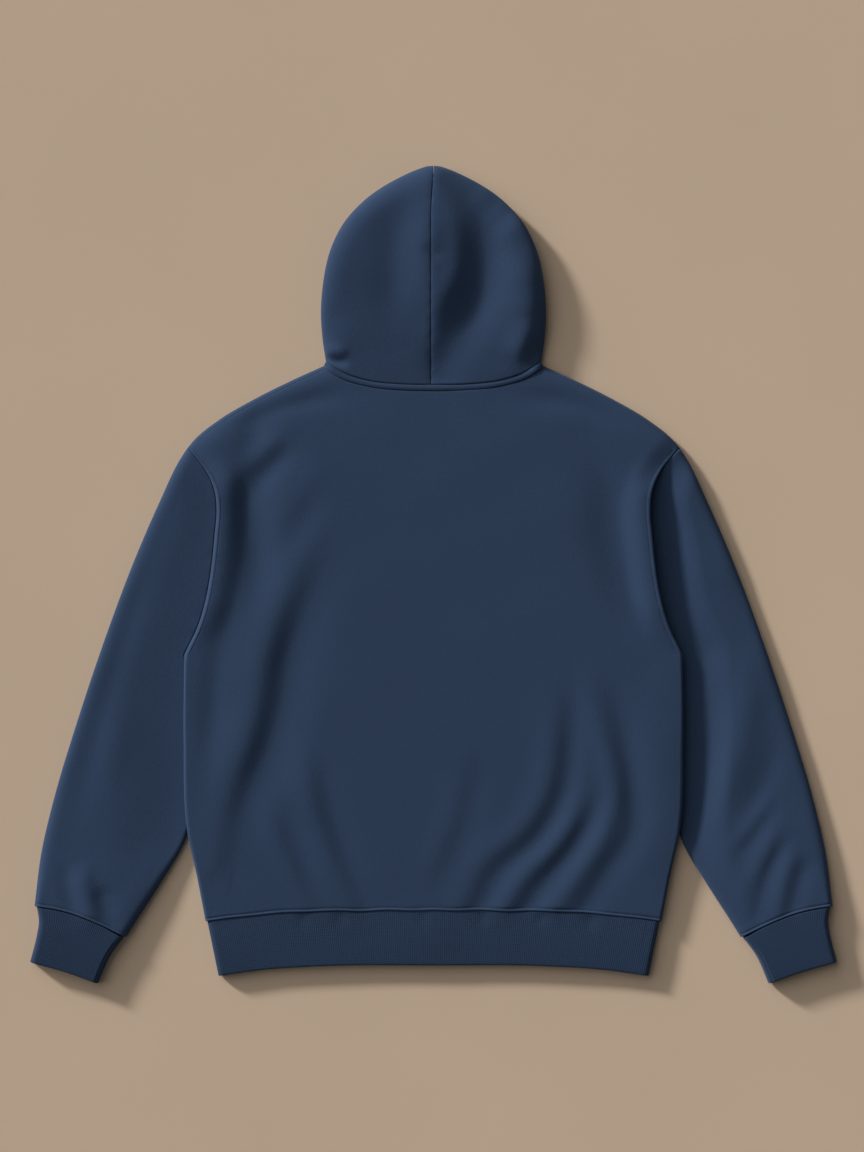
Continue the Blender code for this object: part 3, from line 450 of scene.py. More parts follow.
def turn(distance, reach):
    """Rise from 0 at the outline to 1 at `reach` inside it, along a quarter of a squared-off ellipse:
    with p the power, the p-th root of 1 less the p-th power of the share of the reach still to go."""
    share = np.clip(distance / reach, 0.0, 1.0)
    return (1 - (1 - share) ** TURN_POWER) ** (1 / TURN_POWER)


def along_path(points, path):
    """Distance from each point to a path of straight steps, signed positive to the path's left, and the
    share of the path's steps at the nearest place."""
    best = np.full(points.shape[:-1], np.inf)
    signed, place = best.copy(), best.copy()
    for index, (start, run) in enumerate(zip(path[:-1], np.diff(path, axis=0))):
        offset = points - start
        share = np.clip(offset @ run / (run @ run), 0, 1)
        away = offset - share[..., None] * run
        square = (away**2).sum(-1)
        nearer = square < best
        side = np.where(run[0] * away[..., 1] - run[1] * away[..., 0] >= 0, 1.0, -1.0)
        best = np.where(nearer, square, best)
        signed = np.where(nearer, side * np.sqrt(square), signed)
        place = np.where(nearer, (index + share) / (len(path) - 1), place)
    return signed, place


def distance_to(points, rows, samples=90):
    """Shortest distance in plan from each point to a line."""
    return np.abs(along_path(points, line(rows, np.linspace(0, 1, samples)))[0])


def fold_height(points, folds):
    """Sum of soft ridges and troughs.

    Each is its rise times a bell over the distance to its path, narrower on one side than on the other;
    the path is the smooth line through its points, and the rise eases to its end shares.
    """
    total = np.zeros(points.shape[:-1])
    for fold in folds:
        path = line(fold.path, np.linspace(0, 1, FOLD_PATH_STEPS))
        room = 3 * max(fold.near, fold.far)
        inside = np.all((points > path.min(0) - room) & (points < path.max(0) + room), axis=-1)
        away, place = along_path(points[inside], path)
        reach = np.where(away > 0, fold.near, fold.far)
        first = fold.first + (1 - fold.first) * ease(place / FOLD_END_SHARE)
        last = fold.last + (1 - fold.last) * ease((1 - place) / FOLD_END_SHARE)
        total[inside] += fold.rise * first * last * bell(away, reach)
    return total


def unevenness(points, size, phase=0.0):
    """Slow rise and fall of laid cloth, between -1 and 1: three crossed sine waves about `size` apart."""
    x, y = points[..., 0] / size, points[..., 1] / size
    waves = (np.sin(4.1 * x + 1.7 * np.sin(2.3 * y + phase)) + np.sin(5.3 * y - 2.2 * x + 1.3 + phase)
             + np.sin(3.1 * x + 4.7 * y + 1.9 * np.sin(1.9 * x) - phase))
    return waves / 3


def both_sides(points):
    """Plan points folded onto the right half."""
    return np.stack((np.abs(points[..., 0]), points[..., 1]), axis=-1)


def smooth(rows):
    """An edge: a function from shares of its length to points."""
    return lambda shares: line(rows, shares)


def corner_shares(parts):
    """Shares of the whole length at which each part starts and the last one ends."""
    return np.concatenate(([0.0], np.cumsum([length(part) for part in parts]))) / sum(map(length, parts))


def joined(parts):
    """One edge of several smooth lines, with corners between them."""
    corners = corner_shares(parts)

    def edge(shares):
        shares = np.asarray(shares, float)
        points = np.empty(shares.shape + (2,))
        for part, start, end in zip(parts, corners[:-1], corners[1:]):
            inside = (shares >= start) & (shares <= end)
            points[inside] = line(part, (shares[inside] - start) / (end - start))
        return points

    return edge


def patch(first_row, last_row, first_column, last_column, across, along):
    """Plan points between four edges: the two blends of facing edges, less the blend of the corners.

    `across` and `along` give each grid point's shares.
    """
    ends = np.array((0.0, 1.0))
    corner = np.concatenate((first_row(ends), last_row(ends)))
    u, v = across[..., None], along[..., None]
    corners = ((1 - u) * (1 - v) * corner[0] + u * (1 - v) * corner[1]
               + (1 - u) * v * corner[2] + u * v * corner[3])
    return ((1 - v) * first_row(across) + v * last_row(across)
            + (1 - u) * first_column(along) + u * last_column(along) - corners)


def fan(first_column, last_column, last_row, across, along):
    """Rows straight between two edges that start at one point, the last rows bending into `last_row`."""
    ends = last_row(np.array((0.0, 1.0)))
    u, v = across[..., None], along[..., None]
    bend = last_row(across) - (1 - u) * ends[0] - u * ends[1]
    return (1 - u) * first_column[:, None] + u * last_column[:, None] + v * bend


def places(run, step, start=(0,), end=(0,)):
    """Distances from 0 to `run`: the given ones at both ends, and about `step` apart between them."""
    start, end = np.array(start, float), run - np.array(end, float)[::-1]
    count = max(2, round((end[0] - start[-1]) / step))
    return np.concatenate((start, np.linspace(start[-1], end[0], count + 1)[1:-1], end))


def snapped(values, marks):
    """Values with the nearest one moved onto each mark."""
    values = np.array(values, float)
    for mark in marks:
        values[np.abs(values - mark).argmin()] = mark
    return values


def welt(distance, width):
    """Relief of a topstitched seam: down into the seam, up over the folded allowance, down at the stitches.

    A bell-shaped dip at the seam and at `width` from it, and a flat rise eased in and out between them.
    """
    allowance = ease(distance / ALLOWANCE_ROLL) * (1 - ease((distance - width) / ALLOWANCE_ROLL))
    raised = ALLOWANCE_RISE * allowance
    return raised - SEAM_DIP * bell(distance, SEAM_REACH) - STITCH_DIP * bell(distance - width, STITCH_REACH)


def band_welt(distance, width):
    """Relief above a rib band: bell-shaped dips at the seam and the stitches, a thin ridge between them."""
    rise, place, reach = BAND_SEAM_RIDGE
    return (rise * bell(distance - place, reach) - SEAM_DIP * bell(distance, SEAM_REACH)
            - STITCH_DIP * bell(distance - width, STITCH_REACH))


def seam_dip(distance):
    """Bell-shaped dip where two pieces meet without topstitching."""
    return -SEAM_DIP * bell(distance, PLAIN_SEAM_REACH)


def side_lift(points):
    """How far the sleeve tucked below raises the side of the body, eased in across and along it."""
    plan = both_sides(points)
    across = ease((plan[..., 0] - SIDE_LIFT_START) / (SIDE_LIFT_END - SIDE_LIFT_START))
    return SIDE_LIFT * across * ease(table(SIDE_LIFT_SHARE, plan[..., 1]))


def body_rim(y):
    """Height of the side and shoulder seams, raised with the side of the body."""
    return RIM_HEIGHT + SIDE_RIM_LIFT * ease(table(SIDE_LIFT_SHARE, y))


def armhole_share(y):
    """1 along the armhole and below it, easing to 0 towards its upper end."""
    return ease((ARMHOLE[0][1] - y) / ARMHOLE_TOP_FADE)


def armhole_welt(y):
    """Distance of the stitches from the armhole seam, less towards its upper end."""
    return ARMHOLE_WELT * (ARMHOLE_WELT_TOP_SHARE + (1 - ARMHOLE_WELT_TOP_SHARE) * armhole_share(y))


def by_side(points, pair):
    """The first of two values on the left half of the garment and the second on the right."""
    return np.where(points[..., 0] < 0, pair[0], pair[1])


def beside_body(points, rows):
    """The value at each height up the garment from the left or the right sleeve's table."""
    return by_side(points, [table(side_rows, points[..., 1]) for side_rows in rows])


def body_top(points):
    """Top face of the back: the laid height with folds, no lower than the tucked sleeve needs, swelling and
    then dropping to the sleeve beside the armhole, times the turn at the outline, with the seams' relief."""
    plan = both_sides(points)
    y = plan[..., 1]
    hem, armhole = distance_to(plan, HEM_SEAM), distance_to(plan, ARMHOLE)
    neck, outline = distance_to(plan, BACK_NECK), distance_to(plan, WHOLE_OUTLINE)
    side = distance_to(plan, SIDE)
    fade = SEAM_FOLD_SHARE + (1 - SEAM_FOLD_SHARE) * ease(hem / FOLD_FADE)
    rise = table(BODY_HEIGHT, y) + fold_height(points, BODY_FOLDS) * fade
    rise = rise + LAID_UNEVENNESS * unevenness(points, BODY_WAVES)
    rise = np.maximum(rise, side_lift(points) + 2 * CLOTH_WALL + LAYER_GAP + LEAST_HOLLOW)
    low, share = beside_body(points, SLEEVE_LOW), armhole_share(y)
    rise = rise + (low - rise) * (1 - ease(armhole / SHOULDER_ROUND)) * (1 - share)
    swell = (1 - ease((armhole - ARMHOLE_ROLL_START) / ARMHOLE_ROLL_REACH)) * share
    rise = rise + ARMHOLE_ROLL * swell * ease((y - ARMHOLE[-1][1]) / ARMHOLE_ROLL_FADE)
    rise = rise + (low - rise) * (1 - turn(armhole, by_side(points, ARMHOLE_EDGE))) * share
    near_seam = np.exp(-np.minimum(hem, armhole) / PUCKER_REACH)
    rise = rise + PUCKER * unevenness(points, BODY_PUCKERS) * near_seam
    past_end = (1 - ease(armhole / WELT_END_REACH)) * ease((y - ARMHOLE[-1][1]) / WELT_END_FADE)
    on_armhole = np.where((y > ARMHOLE[-1][1]) & (y < ARMHOLE[0][1]), 1.0, past_end)
    at_shoulder = ease((y - ARMHOLE[0][1] - SHOULDER_WELT_START) / SHOULDER_WELT_FADE)
    welts = (band_welt(hem, HEM_WELT) + seam_dip(neck) + welt(armhole, armhole_welt(y)) * on_armhole
             - STITCH_DIP * bell(outline - SHOULDER_WELT, STITCH_REACH) * at_shoulder)
    rim = body_rim(y)
    turned = turn(np.minimum(outline, side), table(BODY_TURN, y))
    return rim + (rise - rim) * turned + welts * np.minimum(turned, ease(side / SIDE_RELIEF_FADE))


def body_underside(points):
    """Lower face of the fronts: on the floor or the tucked sleeve, up into the stitched seams in bell-shaped
    dips, plus what the rim stands above that times 1 less the turn at the outline."""
    plan = both_sides(points)
    rim = body_rim(plan[..., 1])
    lift = side_lift(points)
    edge = np.minimum(distance_to(plan, WHOLE_OUTLINE), distance_to(plan, SIDE))
    seams = np.minimum(distance_to(plan, HEM_SEAM), distance_to(plan, ARMHOLE))
    zip_stitches = bell(plan[..., 0] - ZIP_HALF_OPENING - ZIP_WELT, STITCH_REACH)
    relief = STITCH_DIP * (zip_stitches + bell(seams - HEM_WELT, STITCH_REACH))
    return lift + (rim - lift) * (1 - turn(edge, UNDER_TURN)) + relief * ease(edge / UNDER_TURN)


def sleeve_rims(plan):
    """Distances to the sleeve's outer and inner edges, and the height where its two faces meet."""
    outer, inner = distance_to(plan, WHOLE_OUTLINE), distance_to(plan, SLEEVE_INNER)
    rim = np.where(outer < inner, RIM_HEIGHT, table(SLEEVE_INNER_RIM, plan[..., 1]))
    return outer, inner, rim


def sleeve_top(points, folds):
    """Top face of a sleeve: the laid height with folds, level and low beside the armhole and the body and
    climbing away from them, times turns at both edges."""
    plan = both_sides(points)
    y = plan[..., 1]
    outer, inner, rim = sleeve_rims(plan)
    cuff, armhole = distance_to(plan, CUFF_SEAM), distance_to(plan, ARMHOLE)
    fade = SEAM_FOLD_SHARE + (1 - SEAM_FOLD_SHARE) * ease(cuff / FOLD_FADE)
    rise = table(SLEEVE_HEIGHT, y) + fold_height(points, folds) * fade
    rise = rise + LAID_UNEVENNESS * unevenness(points, SLEEVE_WAVES, 2.0) * ease(cuff / SLEEVE_WAVES_FADE)
    low = beside_body(points, SLEEVE_LOW)
    from_body = np.minimum(armhole, np.maximum(inner - table(TUCKED_WIDTH, y), 0))
    climb = ease((from_body - beside_body(points, SLEEVE_LEVEL)) / beside_body(points, SLEEVE_CLIMB))
    rise = low + (rise - low) * climb
    near_seam = np.exp(-np.minimum(cuff, armhole) / PUCKER_REACH)
    pucker = PUCKER * unevenness(points, SLEEVE_PUCKERS, 1.0) * near_seam
    on_armhole = ease((y - ARMHOLE[-1][1] + UNDERARM_FADE) / UNDERARM_FADE)
    relief = band_welt(cuff, CUFF_WELT) + seam_dip(armhole) * on_armhole + pucker
    outer_share = turn(outer, BAND_TURN + (SLEEVE_TURN - BAND_TURN) * ease(cuff / CUFF_TURN_REACH))
    inner_share = turn(inner, table(INNER_TURN, y))
    at_edge = np.minimum(turn(outer, RELIEF_FADE), turn(inner, RELIEF_FADE))
    return rim + (rise - rim) * outer_share * inner_share + relief * at_edge


def sleeve_underside(points):
    """Lower face of a sleeve: the rim's height times 1 less both edges' turns multiplied, so flat between."""
    outer, inner, rim = sleeve_rims(both_sides(points))
    return rim * (1 - turn(outer, UNDER_TURN) * turn(inner, UNDER_TURN))


def band_share(plan, sides, reach):
    """The turn at the nearer of a band's folded edges."""
    return np.min([turn(distance_to(plan, side), reach) for side in sides], axis=0)


def band_puff(seam, edge):
    """A band swells between its seam and its folded edge as half a sine wave, and dips at the seam."""
    return BAND_PUFF * np.sin(math.pi * np.clip(seam / (seam + edge), 0, 1)) + BAND_DIP * seam_dip(seam)


def hem_top(points):
    """Top face of the hem band: level, with the body's folds running out in it and bell-shaped dips below
    the seam, swelling to its folded edge, times the turn at its folded sides."""
    plan = both_sides(points)
    seam, edge = distance_to(plan, HEM_SEAM), distance_to(plan, HEM_EDGE)
    rise = BAND_HEIGHT + SEAM_FOLD_SHARE * fold_height(points, BODY_FOLDS)
    for x, depth in HEM_DIPS:
        along = bell(seam - HEM_DIP_PLACE, HEM_DIP_LENGTH) * ease(seam / HEM_DIP_START)
        rise = rise - depth * bell(points[..., 0] - x, HEM_DIP_WIDTH) * along
    rise = rise + band_puff(seam, edge) + LAID_UNEVENNESS * unevenness(points, BODY_WAVES)
    rise = rise + PUCKER * unevenness(points, BODY_PUCKERS) * np.exp(-seam / PUCKER_REACH)
    return BAND_RIM + (rise - BAND_RIM) * band_share(plan, (HEM_SIDE,), BAND_TURN)


def cuff_top(points, folds):
    """Top face of a cuff: level, swelling to its folded edge, times the turn at its folded sides, less a
    bell-shaped crease beside the inner fold."""
    plan = both_sides(points)
    seam, edge = distance_to(plan, CUFF_TOP), distance_to(plan, CUFF_EDGE)
    inner = distance_to(plan, CUFF_INNER)
    rise = CUFF_HEIGHT + SEAM_FOLD_SHARE * fold_height(points, folds) + band_puff(seam, edge)
    below_seam = ease((seam - CUFF_CREASE_START) / CUFF_CREASE_FADE)
    crease = CUFF_CREASE_DEPTH * bell(inner - CUFF_CREASE, CUFF_CREASE_REACH) * below_seam
    return BAND_RIM + (rise - BAND_RIM) * band_share(plan, (CUFF_OUTER, CUFF_INNER), BAND_TURN) - crease


def band_underside(points, sides):
    """Lower face of a band: the rim's height times 1 less the turn at its folded sides, so flat between."""
    return BAND_RIM * (1 - band_share(both_sides(points), sides, UNDER_TURN))


def hood_seam_x(y):
    """Place of the hood's middle seam, easing over from the middle at the tip."""
    return HOOD_SEAM_X * ease((HOOD_OUTLINE[-1][1] - y) / HOOD_SEAM_EASE)


def hood_top(points):
    """Top face of the hood: the crowned height with folds, less a bell along its middle seam, times the turn
    at the outline, which is wider on the right, with bell-shaped dips at the middle and neck seams."""
    plan = both_sides(points)
    y = plan[..., 1]
    middle = points[..., 0] - hood_seam_x(y)
    neck, outline = distance_to(plan, HOOD_NECK), distance_to(plan, HOOD_OUTLINE)
    rise = table(HOOD_HEIGHT, y) - HOOD_SEAM_DIP * bell(middle, HOOD_SEAM_REACH)
    rise = rise + fold_height(points, HOOD_FOLDS) * ease(neck / FOLD_FADE)
    rise = rise + LAID_UNEVENNESS * unevenness(points, HOOD_WAVES, 3.0) * ease(neck / HOOD_WAVES_FADE)
    rise = rise + PUCKER * unevenness(points, HOOD_PUCKERS, 5.0) * np.exp(-np.abs(middle) / HOOD_PUCKER_REACH)
    rim = table(HOOD_RIM, y)
    right = ease(points[..., 0] / HOOD_TURN_BLEND + 0.5)
    turned = turn(outline, HOOD_TURN[0] + (HOOD_TURN[1] - HOOD_TURN[0]) * right)
    relief = (seam_dip(middle) + seam_dip(neck)) * np.minimum(1, turned * 2)
    return rim + (rise - rim) * turned + relief


def hood_underside(points):
    """Lower face of the hood: the rim's height times 1 less the turn at the outline, so flat inside."""
    plan = both_sides(points)
    rim = table(HOOD_RIM, plan[..., 1])
    share = ease((plan[..., 1] - HOOD_UNDER_TURN_START) / HOOD_UNDER_TURN_REACH)
    reach = UNDER_TURN + (HOOD_UNDER_TURN - UNDER_TURN) * share
    return rim * (1 - turn(distance_to(plan, HOOD_OUTLINE), reach))


def neck_band_top(points, across):
    """Top face of the neck strip: half a sine wave between its two seams, `across` being the share between,
    times the turn at the outline."""
    plan = both_sides(points)
    edge = np.minimum(distance_to(plan, WHOLE_OUTLINE), distance_to(plan, HOOD_OUTLINE))
    bead = NECK_BEAD * np.sin(math.pi * across) - NECK_BEAD_SINK * NECK_BEAD
    rise = NECK_BAND_HEIGHT + bead + NECK_UNEVENNESS * unevenness(points, NECK_WAVES, 1.0)
    return RIM_HEIGHT + (rise - RIM_HEIGHT) * turn(edge, SLEEVE_TURN)


# ---------------------------------------------------------------- grids
def lifted(plan, height):
    """Plan points with their heights, none below the floor."""
    return np.dstack((plan, np.maximum(height, FLOOR_GAP)))


def ribbed(grid, ribs, across, depth):
    """The grid moved out and in along its own normals by a cosine, `ribs` of them over its columns."""
    normal = np.cross(np.gradient(grid, axis=1), np.gradient(grid, axis=0))
    normal /= np.maximum(np.linalg.norm(normal, axis=-1, keepdims=True), 1e-9)
    wave = depth * np.cos(2 * math.pi * ribs * across)
    grid = grid + normal * wave[..., None]
    grid[..., 2] = np.maximum(grid[..., 2], FLOOR_GAP)
    return grid


def body_rows(start, end):
    """Shares along the body's edge with rows at its corners, and which rows end on the outline."""
    corner = corner_shares((SHOULDER, ARMHOLE, SIDE))
    run = length(SHOULDER) + length(ARMHOLE) + length(SIDE)
    shares = snapped(places(run, TOP_STEP, start, end) / run, corner[1:3])
    shares[[0, -1]] += (SEAM_GAP / 2 / run, -SEAM_GAP / 2 / run)
    return shares, (shares <= corner[1]) | (shares >= corner[2])


def stand_rim(grid, rows, way):
    """The last strip of cloth stood upright on the outline: up from the rim (way 1) or down (-1)."""
    grid[rows, -2, :2] = grid[rows, -1, :2]
    grid[rows, -1, 2] = body_rim(grid[rows, -1, 1]) + way * RIM_GAP / 2
    grid[rows, -2, 2] = grid[rows, -1, 2] + way * RIM_RISE
    return grid


def body_plan(neck, hem, middle, inner, rows):
    """Plan of half the body: `inner` shares out from the middle, then columns at fixed distances from the
    outline on every row."""
    edge = joined((SHOULDER, ARMHOLE, SIDE))
    width = edge(rows)[:, :1] - middle[0][0]
    fixed = 1 - np.array(OUTLINE_STEPS[::-1]) / width
    fixed[:, -1] -= SEAM_GAP / 2 / width[:, 0]
    share = np.concatenate((inner[None, :-1] * fixed[:, :1], fixed), axis=1)
    along = np.broadcast_to(rows[:, None], share.shape)
    return patch(smooth(neck), smooth(hem), smooth(middle), edge, share, along)


def back_grid():
    """Top face of the back, left edge to right edge, neck to hem."""
    rows, on_outline = body_rows(SEAM_STEPS, HEM_WELT_STEPS)
    inner = np.linspace(0, 1, round(BACK_INSIDE / TOP_STEP))
    right = body_plan(BACK_NECK, HEM_SEAM, BACK_MIDDLE, inner, rows)
    right = stand_rim(lifted(right, body_top(right)), on_outline, 1)
    left_plan = right[:, :0:-1, :2] * (-1, 1)
    left = lifted(left_plan, body_top(left_plan))
    left[:, :2] = right[:, :-3:-1] * (-1, 1, 1)
    return np.concatenate((left, right), axis=1)


def front_grid(side):
    """Lower face of a front, from the zip out to the side."""
    rows, on_outline = body_rows(SEAM_STEPS, HEM_WELT_STEPS)
    between = np.linspace(ZIP_EDGE_SHARE, 1, round(FRONT_INSIDE / UNDER_STEP))
    inner = np.concatenate((np.array(ZIP_EDGE_STEPS) / FRONT_WIDTH, between))
    plan = body_plan(FRONT_NECK, FRONT_MIDDLE[1:] + HEM_SEAM[1:], FRONT_MIDDLE, inner, rows)
    grid = stand_rim(lifted(plan, body_underside(plan)), on_outline, -1)
    return grid * (side, 1, 1)


def across_shares(width, first, last, count):
    """Shares across each row: at fixed distances from both its edges, and evenly between them."""
    room = np.maximum(width, NARROWEST_ROW)[:, None]
    near = np.array(first) / room
    far = 1 - np.array(last)[::-1] / room
    between = near[:, -1:] + (far[:, :1] - near[:, -1:]) * np.linspace(0, 1, count + 1)[None, 1:-1]
    return np.concatenate((near, between, far), axis=1)


def sleeve_edges():
    """Outer edge and inner edge, row by row: the armhole down to the underarm, then the underarm fold."""
    upper = places(length(ARMHOLE), SLEEVE_STEP) / length(ARMHOLE)
    lower = places(length(SLEEVE_INNER), SLEEVE_STEP, (0,), HEM_WELT_STEPS) / length(SLEEVE_INNER)
    along = np.concatenate((upper[:-1] * UNDERARM_ROW_SHARE,
                            UNDERARM_ROW_SHARE + lower * (1 - UNDERARM_ROW_SHARE)))
    along[-1] -= SEAM_GAP / 2 / length(SLEEVE_OUTER)
    outer = line(SLEEVE_OUTER, along)
    slope = line(ARMHOLE, upper[:-1] + SLOPE_STEP) - line(ARMHOLE, upper[:-1] - SLOPE_STEP)
    outward = np.stack((-slope[:, 1], slope[:, 0]), axis=-1) / np.linalg.norm(slope, axis=-1)[:, None]
    lower[-1] -= SEAM_GAP / 2 / length(SLEEVE_INNER)
    on_armhole = line(ARMHOLE, upper[:-1]) + outward * SEAM_GAP / 2
    inner = np.concatenate((on_armhole, line(SLEEVE_INNER, lower)))
    inner[0] = outer[0]
    return outer, inner, along, len(upper) - 1


def sleeve_grid(side):
    """A flattened tube, open along the armhole: from the inner edge below, round the outer edge, back on
    top."""
    outer, inner, along, underarm_row = sleeve_edges()
    width = np.linalg.norm(inner - outer, axis=1)
    top = across_shares(width, OUTLINE_STEPS, OUTLINE_STEPS, round(SLEEVE_INSIDE / SLEEVE_STEP))
    under = across_shares(width, UNDER_STEPS, UNDER_STEPS, round(SLEEVE_UNDER_INSIDE / UNDER_STEP))
    shares = np.concatenate((under[:, ::-1], top[:, 1:]), axis=1)
    rows = np.broadcast_to(along[:, None], shares.shape)
    plan = fan(outer, inner, smooth(CUFF_SEAM), shares, rows) * (side, 1)
    folds = SLEEVE_RIGHT_FOLDS if side > 0 else SLEEVE_LEFT_FOLDS
    turned = under.shape[1]
    height = np.concatenate((sleeve_underside(plan[:, :turned]), sleeve_top(plan[:, turned:], folds)),
                            axis=1)
    height[underarm_row:, -1] = height[underarm_row:, 0]
    return lifted(plan, height)


def band_rows():
    """Shares down a rib band, from half a gap below its seam to its folded edge."""
    along = places(BAND_DEPTH, BAND_STEP, SEAM_STEPS, BAND_STEPS) / BAND_DEPTH
    along[0] += SEAM_GAP / 2 / BAND_DEPTH
    return along


def cuff_grid(side, rib_pitch, rib_depth):
    """A flattened ring of rib, from the inner fold below, round the outer fold, back on top."""
    along = band_rows()
    ribs = round(CUFF_WIDTH / rib_pitch)
    half = np.linspace(0, 1, ribs * COLUMNS_A_RIB + 1)
    shares = np.concatenate((half[::-1], half[1:]))
    shares, rows = np.meshgrid(shares, along)
    plan = patch(smooth(CUFF_TOP), smooth(CUFF_EDGE), smooth(CUFF_OUTER), smooth(CUFF_INNER), shares, rows)
    plan = plan * (side, 1)
    turned = len(half)
    folds = SLEEVE_RIGHT_FOLDS if side > 0 else SLEEVE_LEFT_FOLDS
    height = np.concatenate((band_underside(plan[:, :turned], (CUFF_OUTER, CUFF_INNER)),
                             cuff_top(plan[:, turned:], folds)), axis=1)
    height[:, -1] = height[:, 0]
    across = np.linspace(0, 1, plan.shape[1])
    grid = ribbed(lifted(plan, height), 2 * ribs, across, rib_depth)
    grid[:, -1] = grid[:, 0]
    return rounded_edge(grid)


def hem_grid(rib_pitch, rib_depth):
    """One band all round: from the zip below, round the left side, over the top and back under the right."""
    along = band_rows()
    ribs = round(HEM_HALF_WIDTH / rib_pitch)
    half = np.linspace(0, 1, ribs * COLUMNS_A_RIB + 1)
    under = half[half > ZIP_HALF_OPENING / HEM_HALF_WIDTH][::-1]
    shares, rows = np.meshgrid(np.concatenate((half, under[1:])), along)
    seam = smooth(HEM_SEAM[:-1] + HEM_SIDE[:1])
    plan = patch(seam, smooth(HEM_EDGE), smooth(HEM_MIDDLE), smooth(HEM_SIDE), shares, rows)
    beneath = band_underside(plan[:, len(half):], (HEM_SIDE,))
    halves = []
    for side in (-1, 1):
        face = plan * (side, 1)
        height = np.concatenate((hem_top(face[:, :len(half)]), beneath), axis=1)
        halves.append(lifted(face, height))
    grid = np.concatenate((halves[0][:, :0:-1], halves[1]), axis=1)
    places_across = (np.arange(grid.shape[1]) - grid.shape[1] // 2) / COLUMNS_A_RIB
    return rounded_edge(ribbed(grid, 1, places_across, rib_depth))


def rounded_edge(grid):
    """The folded lower edge of a band rolled in: its last rows drawn towards the middle of the wall."""
    rows = slice(-len(BAND_STEPS), None)
    away = (np.array(BAND_STEPS) / RIB_WALL).clip(0, 1)[::-1]
    roll = RIB_WALL / 2 * (1 - np.sqrt(1 - (1 - away) ** 2))
    inward = np.clip((BAND_RIM - grid[rows, :, 2]) / BAND_RIM, -1, 1)
    grid[rows, :, 2] += roll[:, None] * inward
    return grid


def hood_grid(side):
    """From the middle seam on top, over the outline, to the front edge below; neck to tip."""
    along = places(length(HOOD_OUTLINE), TOP_STEP, SEAM_STEPS, HOOD_TIP_STEPS) / length(HOOD_OUTLINE)
    along[0] += SEAM_GAP / 2 / length(HOOD_OUTLINE)
    outline = line(HOOD_OUTLINE, along)
    share = across_shares(outline[:, 0], CENTRE_SEAM_STEPS, OUTLINE_STEPS, round(HOOD_INSIDE / TOP_STEP))
    rows = np.broadcast_to(1 - along[:, None], share.shape)
    middle = line(HOOD_MIDDLE, 1 - along)
    top = fan(middle, outline, smooth(HOOD_NECK), share, rows)
    under_share = places(HOOD_FACE_WIDTH, UNDER_STEP, UNDER_STEPS, HOOD_FACE_STEPS) / HOOD_FACE_WIDTH
    shares, rows = np.meshgrid(under_share, along)
    under = patch(smooth(HOOD_UNDER_NECK), smooth(HOOD_UNDER_SEAM), smooth(HOOD_OUTLINE),
                  smooth(HOOD_FRONT_EDGE), shares, rows)
    for plan in (top, under):
        seam_side = SEAM_GAP / 2 + HOOD_TIP_GAP * ease((plan[..., 1] - HOOD_TIP_START) / HOOD_TIP_REACH)
        plan[..., 0] = np.maximum(plan[..., 0], seam_side) * side
    moved = 1 - ease(np.abs(top[..., 0]) / HOOD_SEAM_SPREAD)
    top[..., 0] += hood_seam_x(top[..., 1]) * moved
    return np.concatenate((lifted(top, hood_top(top)), lifted(under, hood_underside(under))[:, 1:]), axis=1)


def neck_band_grid():
    """Narrow strip over the seam between the hood and the back."""
    along = places(NECK_BAND_WIDTH, NECK_STEP, NECK_STEPS, NECK_STEPS) / NECK_BAND_WIDTH
    half = np.linspace(0, NECK_LAST_SHARE, NECK_COLUMNS)
    shares, rows = np.meshgrid(half, inset(along, NECK_BAND_WIDTH))
    right = patch(smooth(HOOD_NECK), smooth(BACK_NECK[:-1] + (NECK_BAND_END,)), smooth(NECK_MIDDLE),
                  smooth((HOOD_NECK[-1], NECK_BAND_END)), shares, rows)
    plan = np.concatenate((right[:, :0:-1] * (-1, 1), right), axis=1)
    across = np.broadcast_to(along[:, None], plan.shape[:2])
    return lifted(plan, neck_band_top(plan, across))


def inset(shares, run):
    """Shares pulled in by half a seam gap at both ends."""
    shares = np.array(shares, float)
    shares[[0, -1]] += (SEAM_GAP / 2 / run, -SEAM_GAP / 2 / run)
    return shares


# ---------------------------------------------------------------- meshes
def grid_faces(rows, columns, flip=False):
    """Four-cornered faces between neighbouring points of a grid."""
    index = np.arange(rows * columns).reshape(rows, columns)
    quads = np.stack((index[:-1, :-1], index[:-1, 1:], index[1:, 1:], index[1:, :-1]), axis=-1)
    return quads.reshape(-1, 4)[:, ::-1] if flip else quads.reshape(-1, 4)


def add_piece(name, points, faces, material, body, slot, replaced=(), smooth_faces=True):
    """A mesh object at the origin, riding on its body and taking the place of its node."""
    mesh = bpy.data.meshes.new(name)
    mesh.from_pydata((np.asarray(points) * MM).tolist(), [], [list(face) for face in faces])
    mesh.materials.append(material)
    if smooth_faces:
        mesh.shade_smooth()
    piece = bpy.data.objects.new(name, mesh)
    bpy.context.scene.collection.objects.link(piece)
    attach(piece, body)
    for node in replaced:
        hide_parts(node)
    return piece


